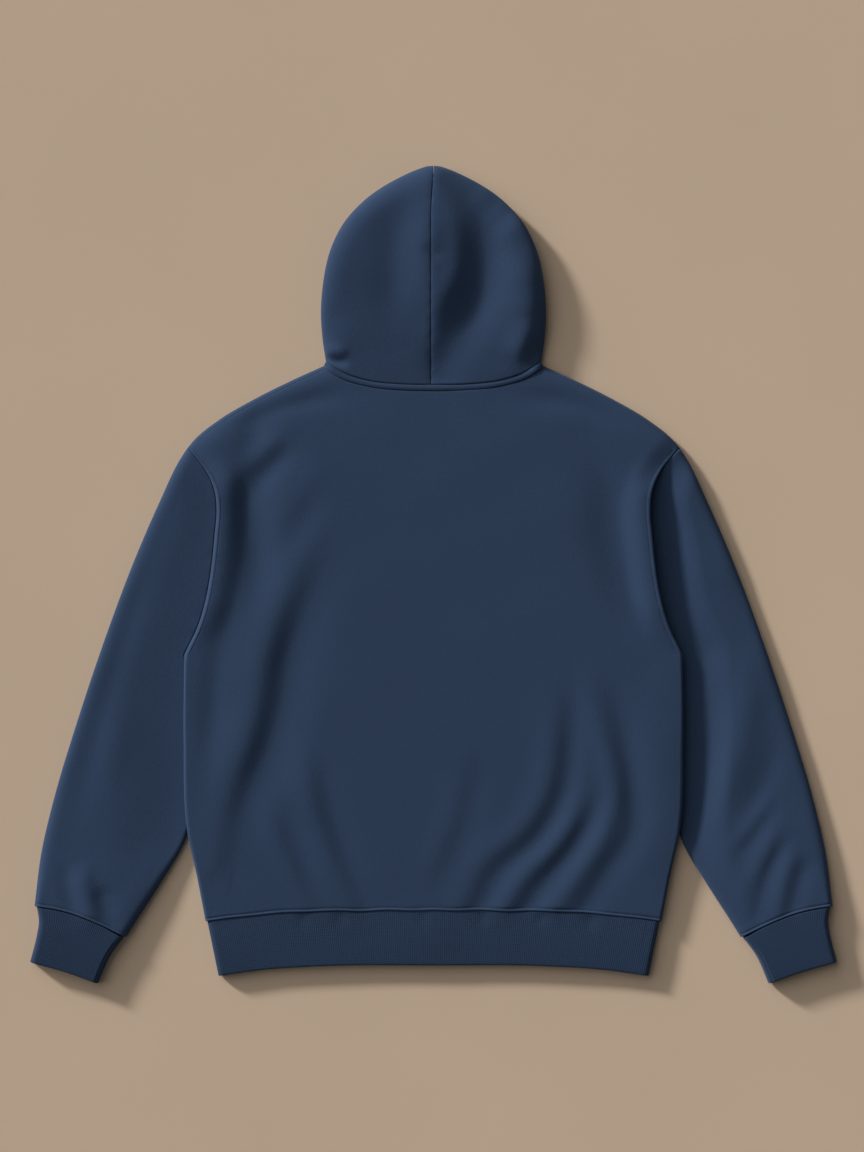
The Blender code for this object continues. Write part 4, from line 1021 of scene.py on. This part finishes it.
def cloth_piece(name, grid, wall, material, slot, node, flip=False):
    """A wall of cloth: the grid is its outer face, its UV map runs along the cloth in metres, and Solidify
    adds the thickness inwards."""
    rows, columns = grid.shape[:2]
    piece = add_piece(name, grid.reshape(-1, 3), grid_faces(rows, columns, flip), material, GARMENT, slot,
                      (node,))
    across = np.linalg.norm(np.diff(grid, axis=1, prepend=grid[:, :1]), axis=-1).cumsum(axis=1)
    along = np.linalg.norm(np.diff(grid, axis=0, prepend=grid[:1]), axis=-1).cumsum(axis=0)
    across -= across[:, columns // 2:columns // 2 + 1]
    on_cloth = np.stack((across, along), axis=-1).reshape(-1, 2) * MM
    corners = np.empty(len(piece.data.loops), np.int32)
    piece.data.loops.foreach_get("vertex_index", corners)
    piece.data.uv_layers.new(name=CLOTH_UV).data.foreach_set("uv", on_cloth[corners].ravel())
    work = bmesh.new()
    work.from_mesh(piece.data)
    bmesh.ops.remove_doubles(work, verts=work.verts, dist=WELD)
    work.to_mesh(piece.data)
    work.free()
    solid = piece.modifiers.new("Wall", "SOLIDIFY")
    solid.thickness = wall
    solid.offset = -1
    return piece


def beside(rows, distance):
    """Points at a distance from a line in plan, to the left of its run."""
    points = line(rows, np.linspace(0, 1, SEAM_POINTS))
    slope = np.gradient(points, axis=0)
    aside = np.stack((-slope[:, 1], slope[:, 0]), axis=-1) / np.linalg.norm(slope, axis=-1)[:, None]
    return points + aside * np.broadcast_to(distance, (SEAM_POINTS,))[:, None]


def evenly(path, pitch):
    """Points and directions at even steps along a path in space."""
    run = np.concatenate(([0.0], np.linalg.norm(np.diff(path, axis=0), axis=1).cumsum()))
    at = np.arange(pitch / 2, run[-1], pitch)
    points = np.stack([np.interp(at, run, path[:, axis]) for axis in range(3)], axis=-1)
    slope = np.stack([np.interp(at, run, np.gradient(path[:, axis], run)) for axis in range(3)], axis=-1)
    return points, slope / np.linalg.norm(slope, axis=-1)[:, None]


def stitched(name, paths, material, pitch, thread, slot="fleece", up=1.0):
    """Rows of stitches: each a six-sided bar of thread along the path whose two ends sink into the cloth."""
    found = [evenly(path, pitch) for path in paths]
    centre = np.concatenate([points for points, _ in found])[:, None, None]
    way = np.concatenate([slope for _, slope in found])[:, None, None]
    above = np.array((0.0, 0.0, up))
    aside = np.cross(way, above)
    aside /= np.linalg.norm(aside, axis=-1, keepdims=True)
    place, girth, sunk = (np.array(row)[None, :, None, None] for row in STITCH_SHAPE)
    corner = np.arange(STITCH_SIDES)
    angle = corner[None, None, :, None] * 2 * math.pi / STITCH_SIDES
    points = (centre + way * place * pitch + aside * np.cos(angle) * girth * thread / 2
              + above * (np.sin(angle) * girth - sunk + 0.5) * thread / 2)
    rings = len(STITCH_SHAPE[0])
    after = (corner + 1) % STITCH_SIDES
    walls = np.stack((corner, after, after + STITCH_SIDES, corner + STITCH_SIDES), axis=-1)
    ring = np.concatenate([walls + STITCH_SIDES * step for step in range(rings - 1)])
    ends = np.stack((corner[::-1], corner + STITCH_SIDES * (rings - 1)))
    if up < 0:
        ring, ends = ring[:, ::-1], ends[:, ::-1]
    shift = np.arange(points.shape[0])[:, None, None] * STITCH_SIDES * rings
    faces = (ring[None] + shift).reshape(-1, 4).tolist()
    faces += (ends[None] + shift).reshape(-1, STITCH_SIDES).tolist()
    return add_piece(name, points.reshape(-1, 3), faces, material, GARMENT, slot)


# ---------------------------------------------------------------- zip
def prism(outline, low, high, chamfer=0.0):
    """A plate: an outline in plan between two heights, its two rims drawn in by a chamfer."""
    outline = np.array(outline, float)
    middle = outline.mean(axis=0)
    away = outline - middle
    small = middle + away * (1 - chamfer / np.linalg.norm(away, axis=1, keepdims=True))
    heights = (low, low + chamfer, high - chamfer, high)
    rings = [np.column_stack((ring, np.full(len(ring), z)))
             for ring, z in zip((small, outline, outline, small), heights)]
    count = len(outline)
    corner = np.arange(count)
    after = (corner + 1) % count
    faces = [face for step in range(3)
             for face in (np.stack((corner, after, after + count, corner + count), axis=-1)
                          + count * step).tolist()]
    return np.concatenate(rings), faces + [corner[::-1].tolist(), (corner + 3 * count).tolist()]


def joined_prisms(prisms):
    """Points and faces of several plates in one mesh."""
    points, faces, start = [], [], 0
    for some, those in prisms:
        points.append(some)
        faces += [[index + start for index in face] for face in those]
        start += len(some)
    return np.concatenate(points), faces


def rounded_box(half_width, low_y, high_y, radius, steps=6):
    """Outline of a rectangle with quarter-circle corners, counter-clockwise."""
    angle = np.linspace(0, math.pi / 2, steps + 1)
    points = []
    far, low, high = half_width - radius, low_y + radius, high_y - radius
    for quarter, (x, y) in enumerate(((far, high), (-far, high), (-far, low), (far, low))):
        turned = angle + quarter * math.pi / 2
        points.append(np.stack((x + radius * np.cos(turned), y + radius * np.sin(turned)), axis=-1))
    return np.concatenate(points)


def holed_plate(outline, hole, low, high, chamfer):
    """A plate with a hole: outline and hole have as many points, joined ring to ring all round."""
    def drawn(ring, by):
        away = ring - ring.mean(axis=0)
        return ring + away / np.linalg.norm(away, axis=1, keepdims=True) * by

    profile = ((drawn(outline, -chamfer), low), (outline, low + chamfer), (outline, high - chamfer),
               (drawn(outline, -chamfer), high), (drawn(hole, chamfer), high), (hole, high - chamfer),
               (hole, low + chamfer), (drawn(hole, chamfer), low))
    points = np.concatenate([np.column_stack((ring, np.full(len(ring), z))) for ring, z in profile])
    count, rings = len(outline), len(profile)
    corner = np.arange(count)
    after = (corner + 1) % count
    faces = []
    for step in range(rings):
        here, there = count * step, count * ((step + 1) % rings)
        faces += np.stack((corner + here, after + here, after + there, corner + there), axis=-1).tolist()
    return points, faces


def tooth_rows():
    """Zip teeth: each a ten-sided profile in x and z, its head across the middle, left and right in turn."""
    low, high, reach, head = TEETH_LOW, TEETH_HIGH, TEETH_REACH, TOOTH_HEAD
    profile = np.array(((reach, low + 0.4), (reach - 0.5, low), (0.5, low + 0.25), (-head + 0.2, low + 0.45),
                        (-head, low + 0.8), (-head, high - 0.8), (-head + 0.2, high - 0.45),
                        (0.5, high - 0.25), (reach - 0.5, high), (reach, high - 0.4)))
    at = np.arange(TEETH_FOOT + TOOTH_PITCH / 2, TEETH_TOP, TOOTH_PITCH)
    way = np.where(np.arange(len(at)) % 2, 1.0, -1.0)
    half = np.where(profile[:, 0] > head, *(TOOTH_PITCH * share for share in TOOTH_HALF_WIDTHS))
    sides = np.array((-1.0, 1.0))
    points = np.empty((len(at), 2, len(profile), 3))
    points[..., 0] = way[:, None, None] * profile[:, 0]
    points[..., 1] = at[:, None, None] + (way[:, None] * sides)[..., None] * half
    points[..., 2] = profile[:, 1]
    count = len(profile)
    corner = np.arange(count)
    after = (corner + 1) % count
    walls = np.stack((corner, after, after + count, corner + count), axis=-1)
    shift = (np.arange(len(at)) * 2 * count)[:, None, None]
    faces = (walls[None] + shift).reshape(-1, 4).tolist()
    faces += (np.stack((corner[::-1], corner + count))[None] + shift).reshape(-1, count).tolist()
    return points.reshape(-1, 3), faces


def tape_grid(side):
    """Lower face of a zip tape: level, with the cord along its inner edge as a bell-shaped ridge."""
    x, y = np.meshgrid(TAPE_COLUMNS, np.arange(TAPE_TOP, TAPE_FOOT, -TAPE_STEP))
    cord = TAPE_CORD * bell(x - TAPE_CORD_X, TAPE_CORD_REACH)
    return np.dstack((x * side, y, TAPE_LOW - cord))


def rounded_plate(shape, shift=0.0):
    """A plate with rounded corners from a row of the zip's tables, moved sideways by `shift`."""
    box, (low, high, chamfer) = shape
    return prism(rounded_box(*box) + (shift, 0), low, high, chamfer)


def slider_plates():
    """Slider: two shouldered plates, the post between them, and the two lugs that hold the pull."""
    outline = np.array([(-x, y) for x, y in SLIDER_RIGHT] + list(SLIDER_RIGHT[-2:0:-1]))
    return ([prism(outline, *plate) for plate in SLIDER_PLATES] + [rounded_plate(SLIDER_POST)]
            + [rounded_plate(SLIDER_LUG, shift) for shift in (SLIDER_LUG_X, -SLIDER_LUG_X)])


# ---------------------------------------------------------------- materials
def add_node(tree, kind, sockets=None, **settings):
    """A shader node with its settings, and its sockets set or linked."""
    made = tree.nodes.new(kind)
    for name, value in settings.items():
        setattr(made, name, value)
    for name, value in (sockets or {}).items():
        if isinstance(value, bpy.types.NodeSocket):
            tree.links.new(value, made.inputs[name])
        else:
            made.inputs[name].default_value = value
    return made


def shaded(name, roughness, metallic=0.0, sheen=0.0, tint=(1, 1, 1, 1)):
    """A new material and its shader, with the values that are the same all over it."""
    material = bpy.data.materials.new(name)
    material.use_nodes = True
    tree = material.node_tree
    shader = next(node for node in tree.nodes if node.type == "BSDF_PRINCIPLED")
    shader.inputs["Roughness"].default_value = roughness
    shader.inputs["Metallic"].default_value = metallic
    shader.inputs["Sheen Weight"].default_value = sheen
    shader.inputs["Sheen Roughness"].default_value = SHEEN_ROUGHNESS
    shader.inputs["Sheen Tint"].default_value = tint
    if not metallic:
        shader.inputs["Specular IOR Level"].default_value = CLOTH_SPECULAR
    return material, tree, shader


def mottled(tree, colour, layers):
    """The colour lightened and darkened by layers of noise, each (scale, amount), in object space."""
    place = add_node(tree, "ShaderNodeTexCoord").outputs["Object"]
    value = None
    for scale, amount in layers:
        noise = add_node(tree, "ShaderNodeTexNoise", {"Vector": place, "Scale": scale, "Detail": 3.0})
        spread = add_node(tree, "ShaderNodeMapRange", {"Value": noise.outputs["Fac"], "From Min": 0.3,
                                                       "From Max": 0.7, "To Min": 1 - amount,
                                                       "To Max": 1 + amount})
        if value is None:
            value = spread.outputs["Result"]
        else:
            value = add_node(tree, "ShaderNodeMath", {0: value, 1: spread.outputs["Result"]},
                             operation="MULTIPLY").outputs["Value"]
    scaled = add_node(tree, "ShaderNodeVectorMath", {0: tuple(colour[:3]), "Scale": value}, operation="SCALE")
    return scaled.outputs["Vector"], place


def noise_bump(tree, place, row):
    """A height socket of noise with its strength and distance, from a row of the bumps' tables."""
    scale, detail, strength, distance = row
    noise = add_node(tree, "ShaderNodeTexNoise", {"Vector": place, "Scale": scale, "Detail": detail})
    return noise.outputs["Fac"], strength, distance


def on_cloth_uv(tree):
    """The socket of places along the cloth, in metres."""
    return add_node(tree, "ShaderNodeUVMap", uv_map=CLOTH_UV).outputs["UV"]


def bumped(tree, shader, heights):
    """Bump from layers of (height socket, strength, distance), one on another."""
    normal = None
    for height, strength, distance in heights:
        sockets = {"Height": height, "Strength": strength, "Distance": distance}
        if normal is not None:
            sockets["Normal"] = normal
        normal = add_node(tree, "ShaderNodeBump", sockets).outputs["Normal"]
    tree.links.new(normal, shader.inputs["Normal"])


def fleece_material(colour):
    """Brushed fleece: mottled colour, short nap that catches the light, and the knit's fine wales below."""
    material, tree, shader = shaded("navy fleece", 0.95, sheen=FLEECE_SHEEN, tint=SHEEN_TINT)
    mixed, place = mottled(tree, colour, FLEECE_MOTTLING)
    tree.links.new(mixed, shader.inputs["Base Color"])
    wales = add_node(tree, "ShaderNodeTexWave", {"Vector": on_cloth_uv(tree), "Scale": KNIT_SCALE,
                                                 "Distortion": 1.2, "Detail": 1.0}, bands_direction="X")
    bumped(tree, shader, (noise_bump(tree, place, FLEECE_TUFTS), noise_bump(tree, place, FLEECE_NAP),
                          (wales.outputs["Fac"], *WALES_BUMP)))
    return material


def rib_material(colour):
    """Rib knit: stitches stacked along each rib, over ribs that are in the mesh."""
    material, tree, shader = shaded("navy rib", 0.92, sheen=FLEECE_SHEEN * 0.8, tint=SHEEN_TINT)
    mixed, place = mottled(tree, colour, RIB_MOTTLING)
    tree.links.new(mixed, shader.inputs["Base Color"])
    courses = add_node(tree, "ShaderNodeTexWave", {"Vector": on_cloth_uv(tree), "Scale": KNIT_SCALE,
                                                   "Distortion": 2.0, "Detail": 1.0}, bands_direction="Y")
    bumped(tree, shader, ((courses.outputs["Fac"], *COURSES_BUMP), noise_bump(tree, place, RIB_FUZZ)))
    return material


def thread_material(colour):
    """Sewing thread: a faint twist along it."""
    material, tree, shader = shaded("navy thread", 0.6)
    mixed, place = mottled(tree, colour, THREAD_MOTTLING)
    tree.links.new(mixed, shader.inputs["Base Color"])
    bumped(tree, shader, (noise_bump(tree, place, THREAD_TWIST),))
    return material


def tape_material(colour):
    """Zip tape: a fine herringbone, from a wave bent to and fro by a triangle wave across it."""
    material, tree, shader = shaded("navy zip tape", 0.8)
    mixed, _ = mottled(tree, colour, TAPE_MOTTLING)
    tree.links.new(mixed, shader.inputs["Base Color"])
    parts = add_node(tree, "ShaderNodeSeparateXYZ", {"Vector": on_cloth_uv(tree)})
    bend = add_node(tree, "ShaderNodeMath", {0: parts.outputs["X"], 1: HERRINGBONE_WIDTH},
                    operation="PINGPONG")
    slant = add_node(tree, "ShaderNodeMath", {0: parts.outputs["Y"], 1: bend.outputs["Value"]},
                     operation="ADD")
    bent = add_node(tree, "ShaderNodeCombineXYZ", {"X": slant.outputs["Value"]})
    twill = add_node(tree, "ShaderNodeTexWave", {"Vector": bent.outputs["Vector"], "Scale": TWILL_SCALE},
                     bands_direction="X")
    bumped(tree, shader, ((twill.outputs["Fac"], *TWILL_BUMP),))
    return material


def metal_material(colour):
    """Satin metal of the zip, with fine wear marks."""
    material, tree, shader = shaded("zip metal", 0.34, metallic=1.0)
    mixed, place = mottled(tree, colour, METAL_MOTTLING)
    tree.links.new(mixed, shader.inputs["Base Color"])
    bumped(tree, shader, (noise_bump(tree, place, METAL_MARKS),))
    return material


def floor_material(colour):
    """Plain matt floor with a trace of unevenness."""
    material, tree, shader = shaded("pale floor", 0.9)
    mixed, place = mottled(tree, colour, FLOOR_MOTTLING)
    tree.links.new(mixed, shader.inputs["Base Color"])
    bumped(tree, shader, (noise_bump(tree, place, FLOOR_GRAIN),))
    return material


MAKERS = {"fleece": fleece_material, "rib": rib_material, "thread": thread_material,
          "tape": tape_material, "metal": metal_material, "floor": floor_material}


def finish_of(context, kind):
    """The material of that kind, made once, in the colour of the settings."""
    made = context.scene.get("hoodie_finishes") or {}
    if kind not in made:
        material = MAKERS[kind](getattr(context.scene.hoodie_colours, kind))
        made = dict(made)
        made[kind] = material.name
        context.scene["hoodie_finishes"] = made
    return bpy.data.materials[made[kind]]


# ---------------------------------------------------------------- settings and operators
class HoodieSizes(bpy.types.PropertyGroup):
    """Sizes of what lies on the cloth's laid shape."""
    cloth_wall: FloatProperty(name="Fleece thickness", description="Thickness of the brushed fleece",
                              default=CLOTH_WALL * MM, min=0.001, max=0.003, unit="LENGTH")
    rib_wall: FloatProperty(name="Rib thickness", description="Thickness of the doubled rib bands",
                            default=RIB_WALL * MM, min=0.001, max=0.003, unit="LENGTH")
    rib_pitch: FloatProperty(name="Rib spacing", description="Distance from rib to rib in hem and cuffs",
                             default=0.0022, min=0.0015, max=0.005, unit="LENGTH")
    rib_depth: FloatProperty(name="Rib depth", description="Half the height of a rib",
                             default=0.00016, min=0.0, max=0.0005, unit="LENGTH")
    stitch_pitch: FloatProperty(name="Stitch length", description="Distance from stitch to stitch",
                                default=0.0032, min=0.002, max=0.006, unit="LENGTH")
    thread: FloatProperty(name="Thread thickness", description="Thickness of the sewing thread",
                          default=0.00055, min=0.0002, max=0.001, unit="LENGTH")


def colour_setting(name, description, default):
    """A colour property in linear light."""
    return FloatVectorProperty(name=name, description=description, default=default, subtype="COLOR",
                               size=4, min=0.0, max=1.0)


class HoodieColours(bpy.types.PropertyGroup):
    """Base colours of the finishes."""
    fleece: colour_setting("Fleece", "Colour of the brushed fleece", (0.0235, 0.047, 0.101, 1.0))
    rib: colour_setting("Rib", "Colour of hem band and cuffs", (0.0170, 0.036, 0.079, 1.0))
    thread: colour_setting("Thread", "Colour of the sewing thread", (0.024, 0.044, 0.090, 1.0))
    tape: colour_setting("Zip tape", "Colour of the woven zip tape", (0.030, 0.048, 0.090, 1.0))
    metal: colour_setting("Zip metal", "Colour of teeth, slider and pull", (0.50, 0.51, 0.53, 1.0))
    floor: colour_setting("Floor", "Colour of the floor", (0.565, 0.444, 0.335, 1.0))


class StageSettings(bpy.types.PropertyGroup):
    """Light on the floor and the garment."""
    sun: FloatProperty(name="Key light", description="Strength of the low light from the upper left",
                       default=4.0, min=0.0)
    window: FloatProperty(name="Broad light", description="Strength of the wide soft light above the key",
                          default=1.42, min=0.0)
    sky: FloatProperty(name="Even light", description="Strength of the even light from all round",
                       default=0.12, min=0.0)


def rows_on(height, plan):
    """A path in space: plan points lifted onto a surface."""
    return np.column_stack((plan, height(plan)))


class HOODIE_OT_back(bpy.types.Operator):
    """Build the back panel, with its shoulder, side, armhole, neck and hem seams"""
    bl_idname = "hoodie.back"
    bl_label = "Back"

    def execute(self, context):
        sizes = context.scene.hoodie_sizes
        piece = cloth_piece("back_panel", back_grid(), sizes.cloth_wall, finish_of(context, "fleece"),
                            "fleece", "back", flip=True)
        return {"FINISHED"}


class HOODIE_OT_fronts(bpy.types.Operator):
    """Build the two front panels that lie on the floor"""
    bl_idname = "hoodie.fronts"
    bl_label = "Fronts"

    def execute(self, context):
        sizes = context.scene.hoodie_sizes
        for side, name in SIDES:
            piece = cloth_piece(f"front_{name}_panel", front_grid(side), sizes.cloth_wall,
                                finish_of(context, "fleece"), "fleece", f"front_{name}", flip=side < 0)
        return {"FINISHED"}


class HOODIE_OT_sleeves(bpy.types.Operator):
    """Build the two sleeves, flattened tubes that lie beside the body"""
    bl_idname = "hoodie.sleeves"
    bl_label = "Sleeves"

    def execute(self, context):
        sizes = context.scene.hoodie_sizes
        for side, name in SIDES:
            piece = cloth_piece(f"sleeve_{name}_panel", sleeve_grid(side), sizes.cloth_wall,
                                finish_of(context, "fleece"), "fleece", f"sleeve_{name}", flip=side < 0)
        return {"FINISHED"}


class HOODIE_OT_hood(bpy.types.Operator):
    """Build the two halves of the hood and the strip along the neck seam"""
    bl_idname = "hoodie.hood"
    bl_label = "Hood"

    def execute(self, context):
        sizes = context.scene.hoodie_sizes
        for side, name in SIDES:
            piece = cloth_piece(f"hood_{name}_panel", hood_grid(side), sizes.cloth_wall,
                                finish_of(context, "fleece"), "fleece", f"hood_{name}", flip=side < 0)
        strip = cloth_piece("neck_band_strip", neck_band_grid(), sizes.cloth_wall,
                            finish_of(context, "fleece"), "fleece", "neck_band", flip=True)
        return {"FINISHED"}


class HOODIE_OT_rib_bands(bpy.types.Operator):
    """Build the ribbed hem band and cuffs"""
    bl_idname = "hoodie.rib_bands"
    bl_label = "Rib bands"

    def execute(self, context):
        sizes = context.scene.hoodie_sizes
        pitch, depth = sizes.rib_pitch / MM, sizes.rib_depth / MM
        rib = finish_of(context, "rib")
        hem = cloth_piece("hem_band_rib", hem_grid(pitch, depth), sizes.rib_wall, rib, "rib", "hem_band",
                          flip=True)
        for side, name in SIDES:
            cuff = cloth_piece(f"cuff_{name}_rib", cuff_grid(side, pitch, depth), sizes.rib_wall, rib, "rib",
                               f"cuff_{name}", flip=side < 0)
        return {"FINISHED"}


class HOODIE_OT_stitching(bpy.types.Operator):
    """Sew the rows of stitches that show beside the seams"""
    bl_idname = "hoodie.stitching"
    bl_label = "Stitching"

    def execute(self, context):
        sizes = context.scene.hoodie_sizes
        pitch, thread = sizes.stitch_pitch / MM, sizes.thread / MM
        material = finish_of(context, "thread")
        hem = beside(HEM_SEAM, HEM_WELT)[HEM_STITCHED]
        hem = np.concatenate((hem[:0:-1] * (-1, 1), hem))
        armhole_y = line(ARMHOLE, np.linspace(0, 1, SEAM_POINTS))[:, 1]
        armhole = beside(ARMHOLE, -armhole_welt(armhole_y))[ARMHOLE_STITCHED]
        shoulder = beside(SHOULDER, -SHOULDER_WELT)[SHOULDER_STITCHED]
        tops = [rows_on(body_top, hem)]
        for side in (-1, 1):
            tops += [rows_on(body_top, path * (side, 1)) for path in (armhole, shoulder)]
        stitched("stitches_back", tops, material, pitch, thread)
        for side, name in SIDES:
            folds = SLEEVE_RIGHT_FOLDS if side > 0 else SLEEVE_LEFT_FOLDS
            cuff = beside(CUFF_SEAM, -CUFF_WELT)[CUFF_STITCHED] * (side, 1)
            stitched(f"stitches_cuff_{name}", [rows_on(lambda plan: sleeve_top(plan, folds), cuff)],
                     material, pitch, thread)
            zip_row = np.column_stack((np.full(ZIP_POINTS, side * (ZIP_HALF_OPENING + ZIP_WELT)),
                                       np.linspace(*ZIP_STITCHES, ZIP_POINTS)))
            front_hem = beside(HEM_SEAM, HEM_WELT)[FRONT_HEM_STITCHED] * (side, 1)
            stitched(f"stitches_front_{name}",
                     [rows_on(body_underside, zip_row), rows_on(body_underside, front_hem)],
                     material, pitch, thread, up=-1.0)
        return {"FINISHED"}


class HOODIE_OT_zip(bpy.types.Operator):
    """Build the zip: tapes, teeth, pin box, slider and pull tab"""
    bl_idname = "hoodie.zip"
    bl_label = "Zip"

    def execute(self, context):
        metal = finish_of(context, "metal")
        for side, name in SIDES:
            tape = cloth_piece(f"zip_tape_{name}_woven", tape_grid(side), TAPE_WALL * MM,
                               finish_of(context, "tape"), "zip_tape", f"zip_tape_{name}", flip=side < 0)
        points, faces = tooth_rows()
        add_piece("zip_teeth_rows", points, faces, metal, GARMENT, "metal", ("zip_teeth",), False)
        box = joined_prisms([rounded_plate(shape) for shape in PIN_BOX])
        add_piece("zip_box", *box, metal, GARMENT, "metal", ("zip_pin_box",), False)
        add_piece("zip_slider_body", *joined_prisms(slider_plates()), metal, GARMENT, "metal",
                  ("zip_slider",), False)
        tab = holed_plate(rounded_box(*PULL_OUTLINE), rounded_box(*PULL_HOLE), *PULL_PLATE)
        add_piece("zip_pull_tab", *tab, metal, PULL, "metal", ("zip_pull",), False)
        return {"FINISHED"}


class HOODIE_OT_stage(bpy.types.Operator):
    """Lay out the floor, the light and the camera"""
    bl_idname = "hoodie.stage"
    bl_label = "Stage"

    def execute(self, context):
        scene = context.scene
        mesh = bpy.data.meshes.new("floor")
        reach = FLOOR_REACH
        mesh.from_pydata([(-reach, -reach, 0), (reach, -reach, 0), (reach, reach, 0), (-reach, reach, 0)],
                         [], [(0, 1, 2, 3)])
        mesh.materials.append(finish_of(context, "floor"))
        floor = bpy.data.objects.new("floor", mesh)
        scene.collection.objects.link(floor)

        for name, energy, elevation, angle in (
                ("low_light", scene.hoodie_stage.sun, SUN_ELEVATION, SUN_ANGLE),
                ("broad_light", scene.hoodie_stage.window, WINDOW_ELEVATION, WINDOW_ANGLE)):
            light = bpy.data.lights.new(name, "SUN")
            light.energy = energy
            light.angle = math.radians(angle)
            light.color = SUN_COLOUR
            lamp = bpy.data.objects.new(name, light)
            rise = math.tan(math.radians(elevation)) * math.hypot(*SUN_FROM)
            lamp.rotation_euler = Vector((*SUN_FROM, rise)).to_track_quat("Z", "Y").to_euler()
            scene.collection.objects.link(lamp)

        world = bpy.data.worlds.new("soft_light")
        world.use_nodes = True
        backdrop = next(node for node in world.node_tree.nodes if node.type == "BACKGROUND")
        backdrop.inputs["Color"].default_value = SKY_COLOUR
        backdrop.inputs["Strength"].default_value = scene.hoodie_stage.sky
        scene.world = world
        scene.view_settings.view_transform = "Standard"

        camera = bpy.data.cameras.new("camera")
        camera.sensor_width = CAMERA_SENSOR
        camera.lens = camera.sensor_width * (CAMERA_PLACE[2] - GARMENT_MIDDLE) / VIEW_LENGTH
        camera.clip_end = CAMERA_REACH
        view = bpy.data.objects.new("camera", camera)
        view.location = CAMERA_PLACE
        scene.collection.objects.link(view)
        scene.camera = view
        return {"FINISHED"}


OPERATORS = (HOODIE_OT_back, HOODIE_OT_fronts, HOODIE_OT_sleeves, HOODIE_OT_hood, HOODIE_OT_rib_bands,
             HOODIE_OT_stitching, HOODIE_OT_zip, HOODIE_OT_stage)


class HOODIE_PT_panel(bpy.types.Panel):
    """Settings and building steps of the hoodie"""
    bl_idname = "HOODIE_PT_panel"
    bl_label = "Hoodie"
    bl_space_type = "VIEW_3D"
    bl_region_type = "UI"
    bl_category = "Hoodie"

    def draw(self, context):
        scene = context.scene
        for settings in (scene.hoodie_sizes, scene.hoodie_colours, scene.hoodie_stage):
            box = self.layout.box()
            for name in settings.__annotations__:
                box.prop(settings, name)
        for operator in OPERATORS:
            self.layout.operator(operator.bl_idname)


CLASSES = (HoodieSizes, HoodieColours, StageSettings) + OPERATORS + (HOODIE_PT_panel,)


def register():
    """Make the classes and settings known to Blender."""
    for each in CLASSES:
        bpy.utils.register_class(each)
    bpy.types.Scene.hoodie_sizes = PointerProperty(type=HoodieSizes)
    bpy.types.Scene.hoodie_colours = PointerProperty(type=HoodieColours)
    bpy.types.Scene.hoodie_stage = PointerProperty(type=StageSettings)


def unregister():
    """Take the settings and classes out again."""
    del bpy.types.Scene.hoodie_stage
    del bpy.types.Scene.hoodie_colours
    del bpy.types.Scene.hoodie_sizes
    for each in reversed(CLASSES):
        bpy.utils.unregister_class(each)


def main():
    """Register the classes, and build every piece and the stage."""
    register()
    for step in (bpy.ops.hoodie.fronts, bpy.ops.hoodie.back, bpy.ops.hoodie.sleeves, bpy.ops.hoodie.hood,
                 bpy.ops.hoodie.rib_bands, bpy.ops.hoodie.stitching, bpy.ops.hoodie.zip,
                 bpy.ops.hoodie.stage):
        step()


if __name__ == "__main__":
    main()
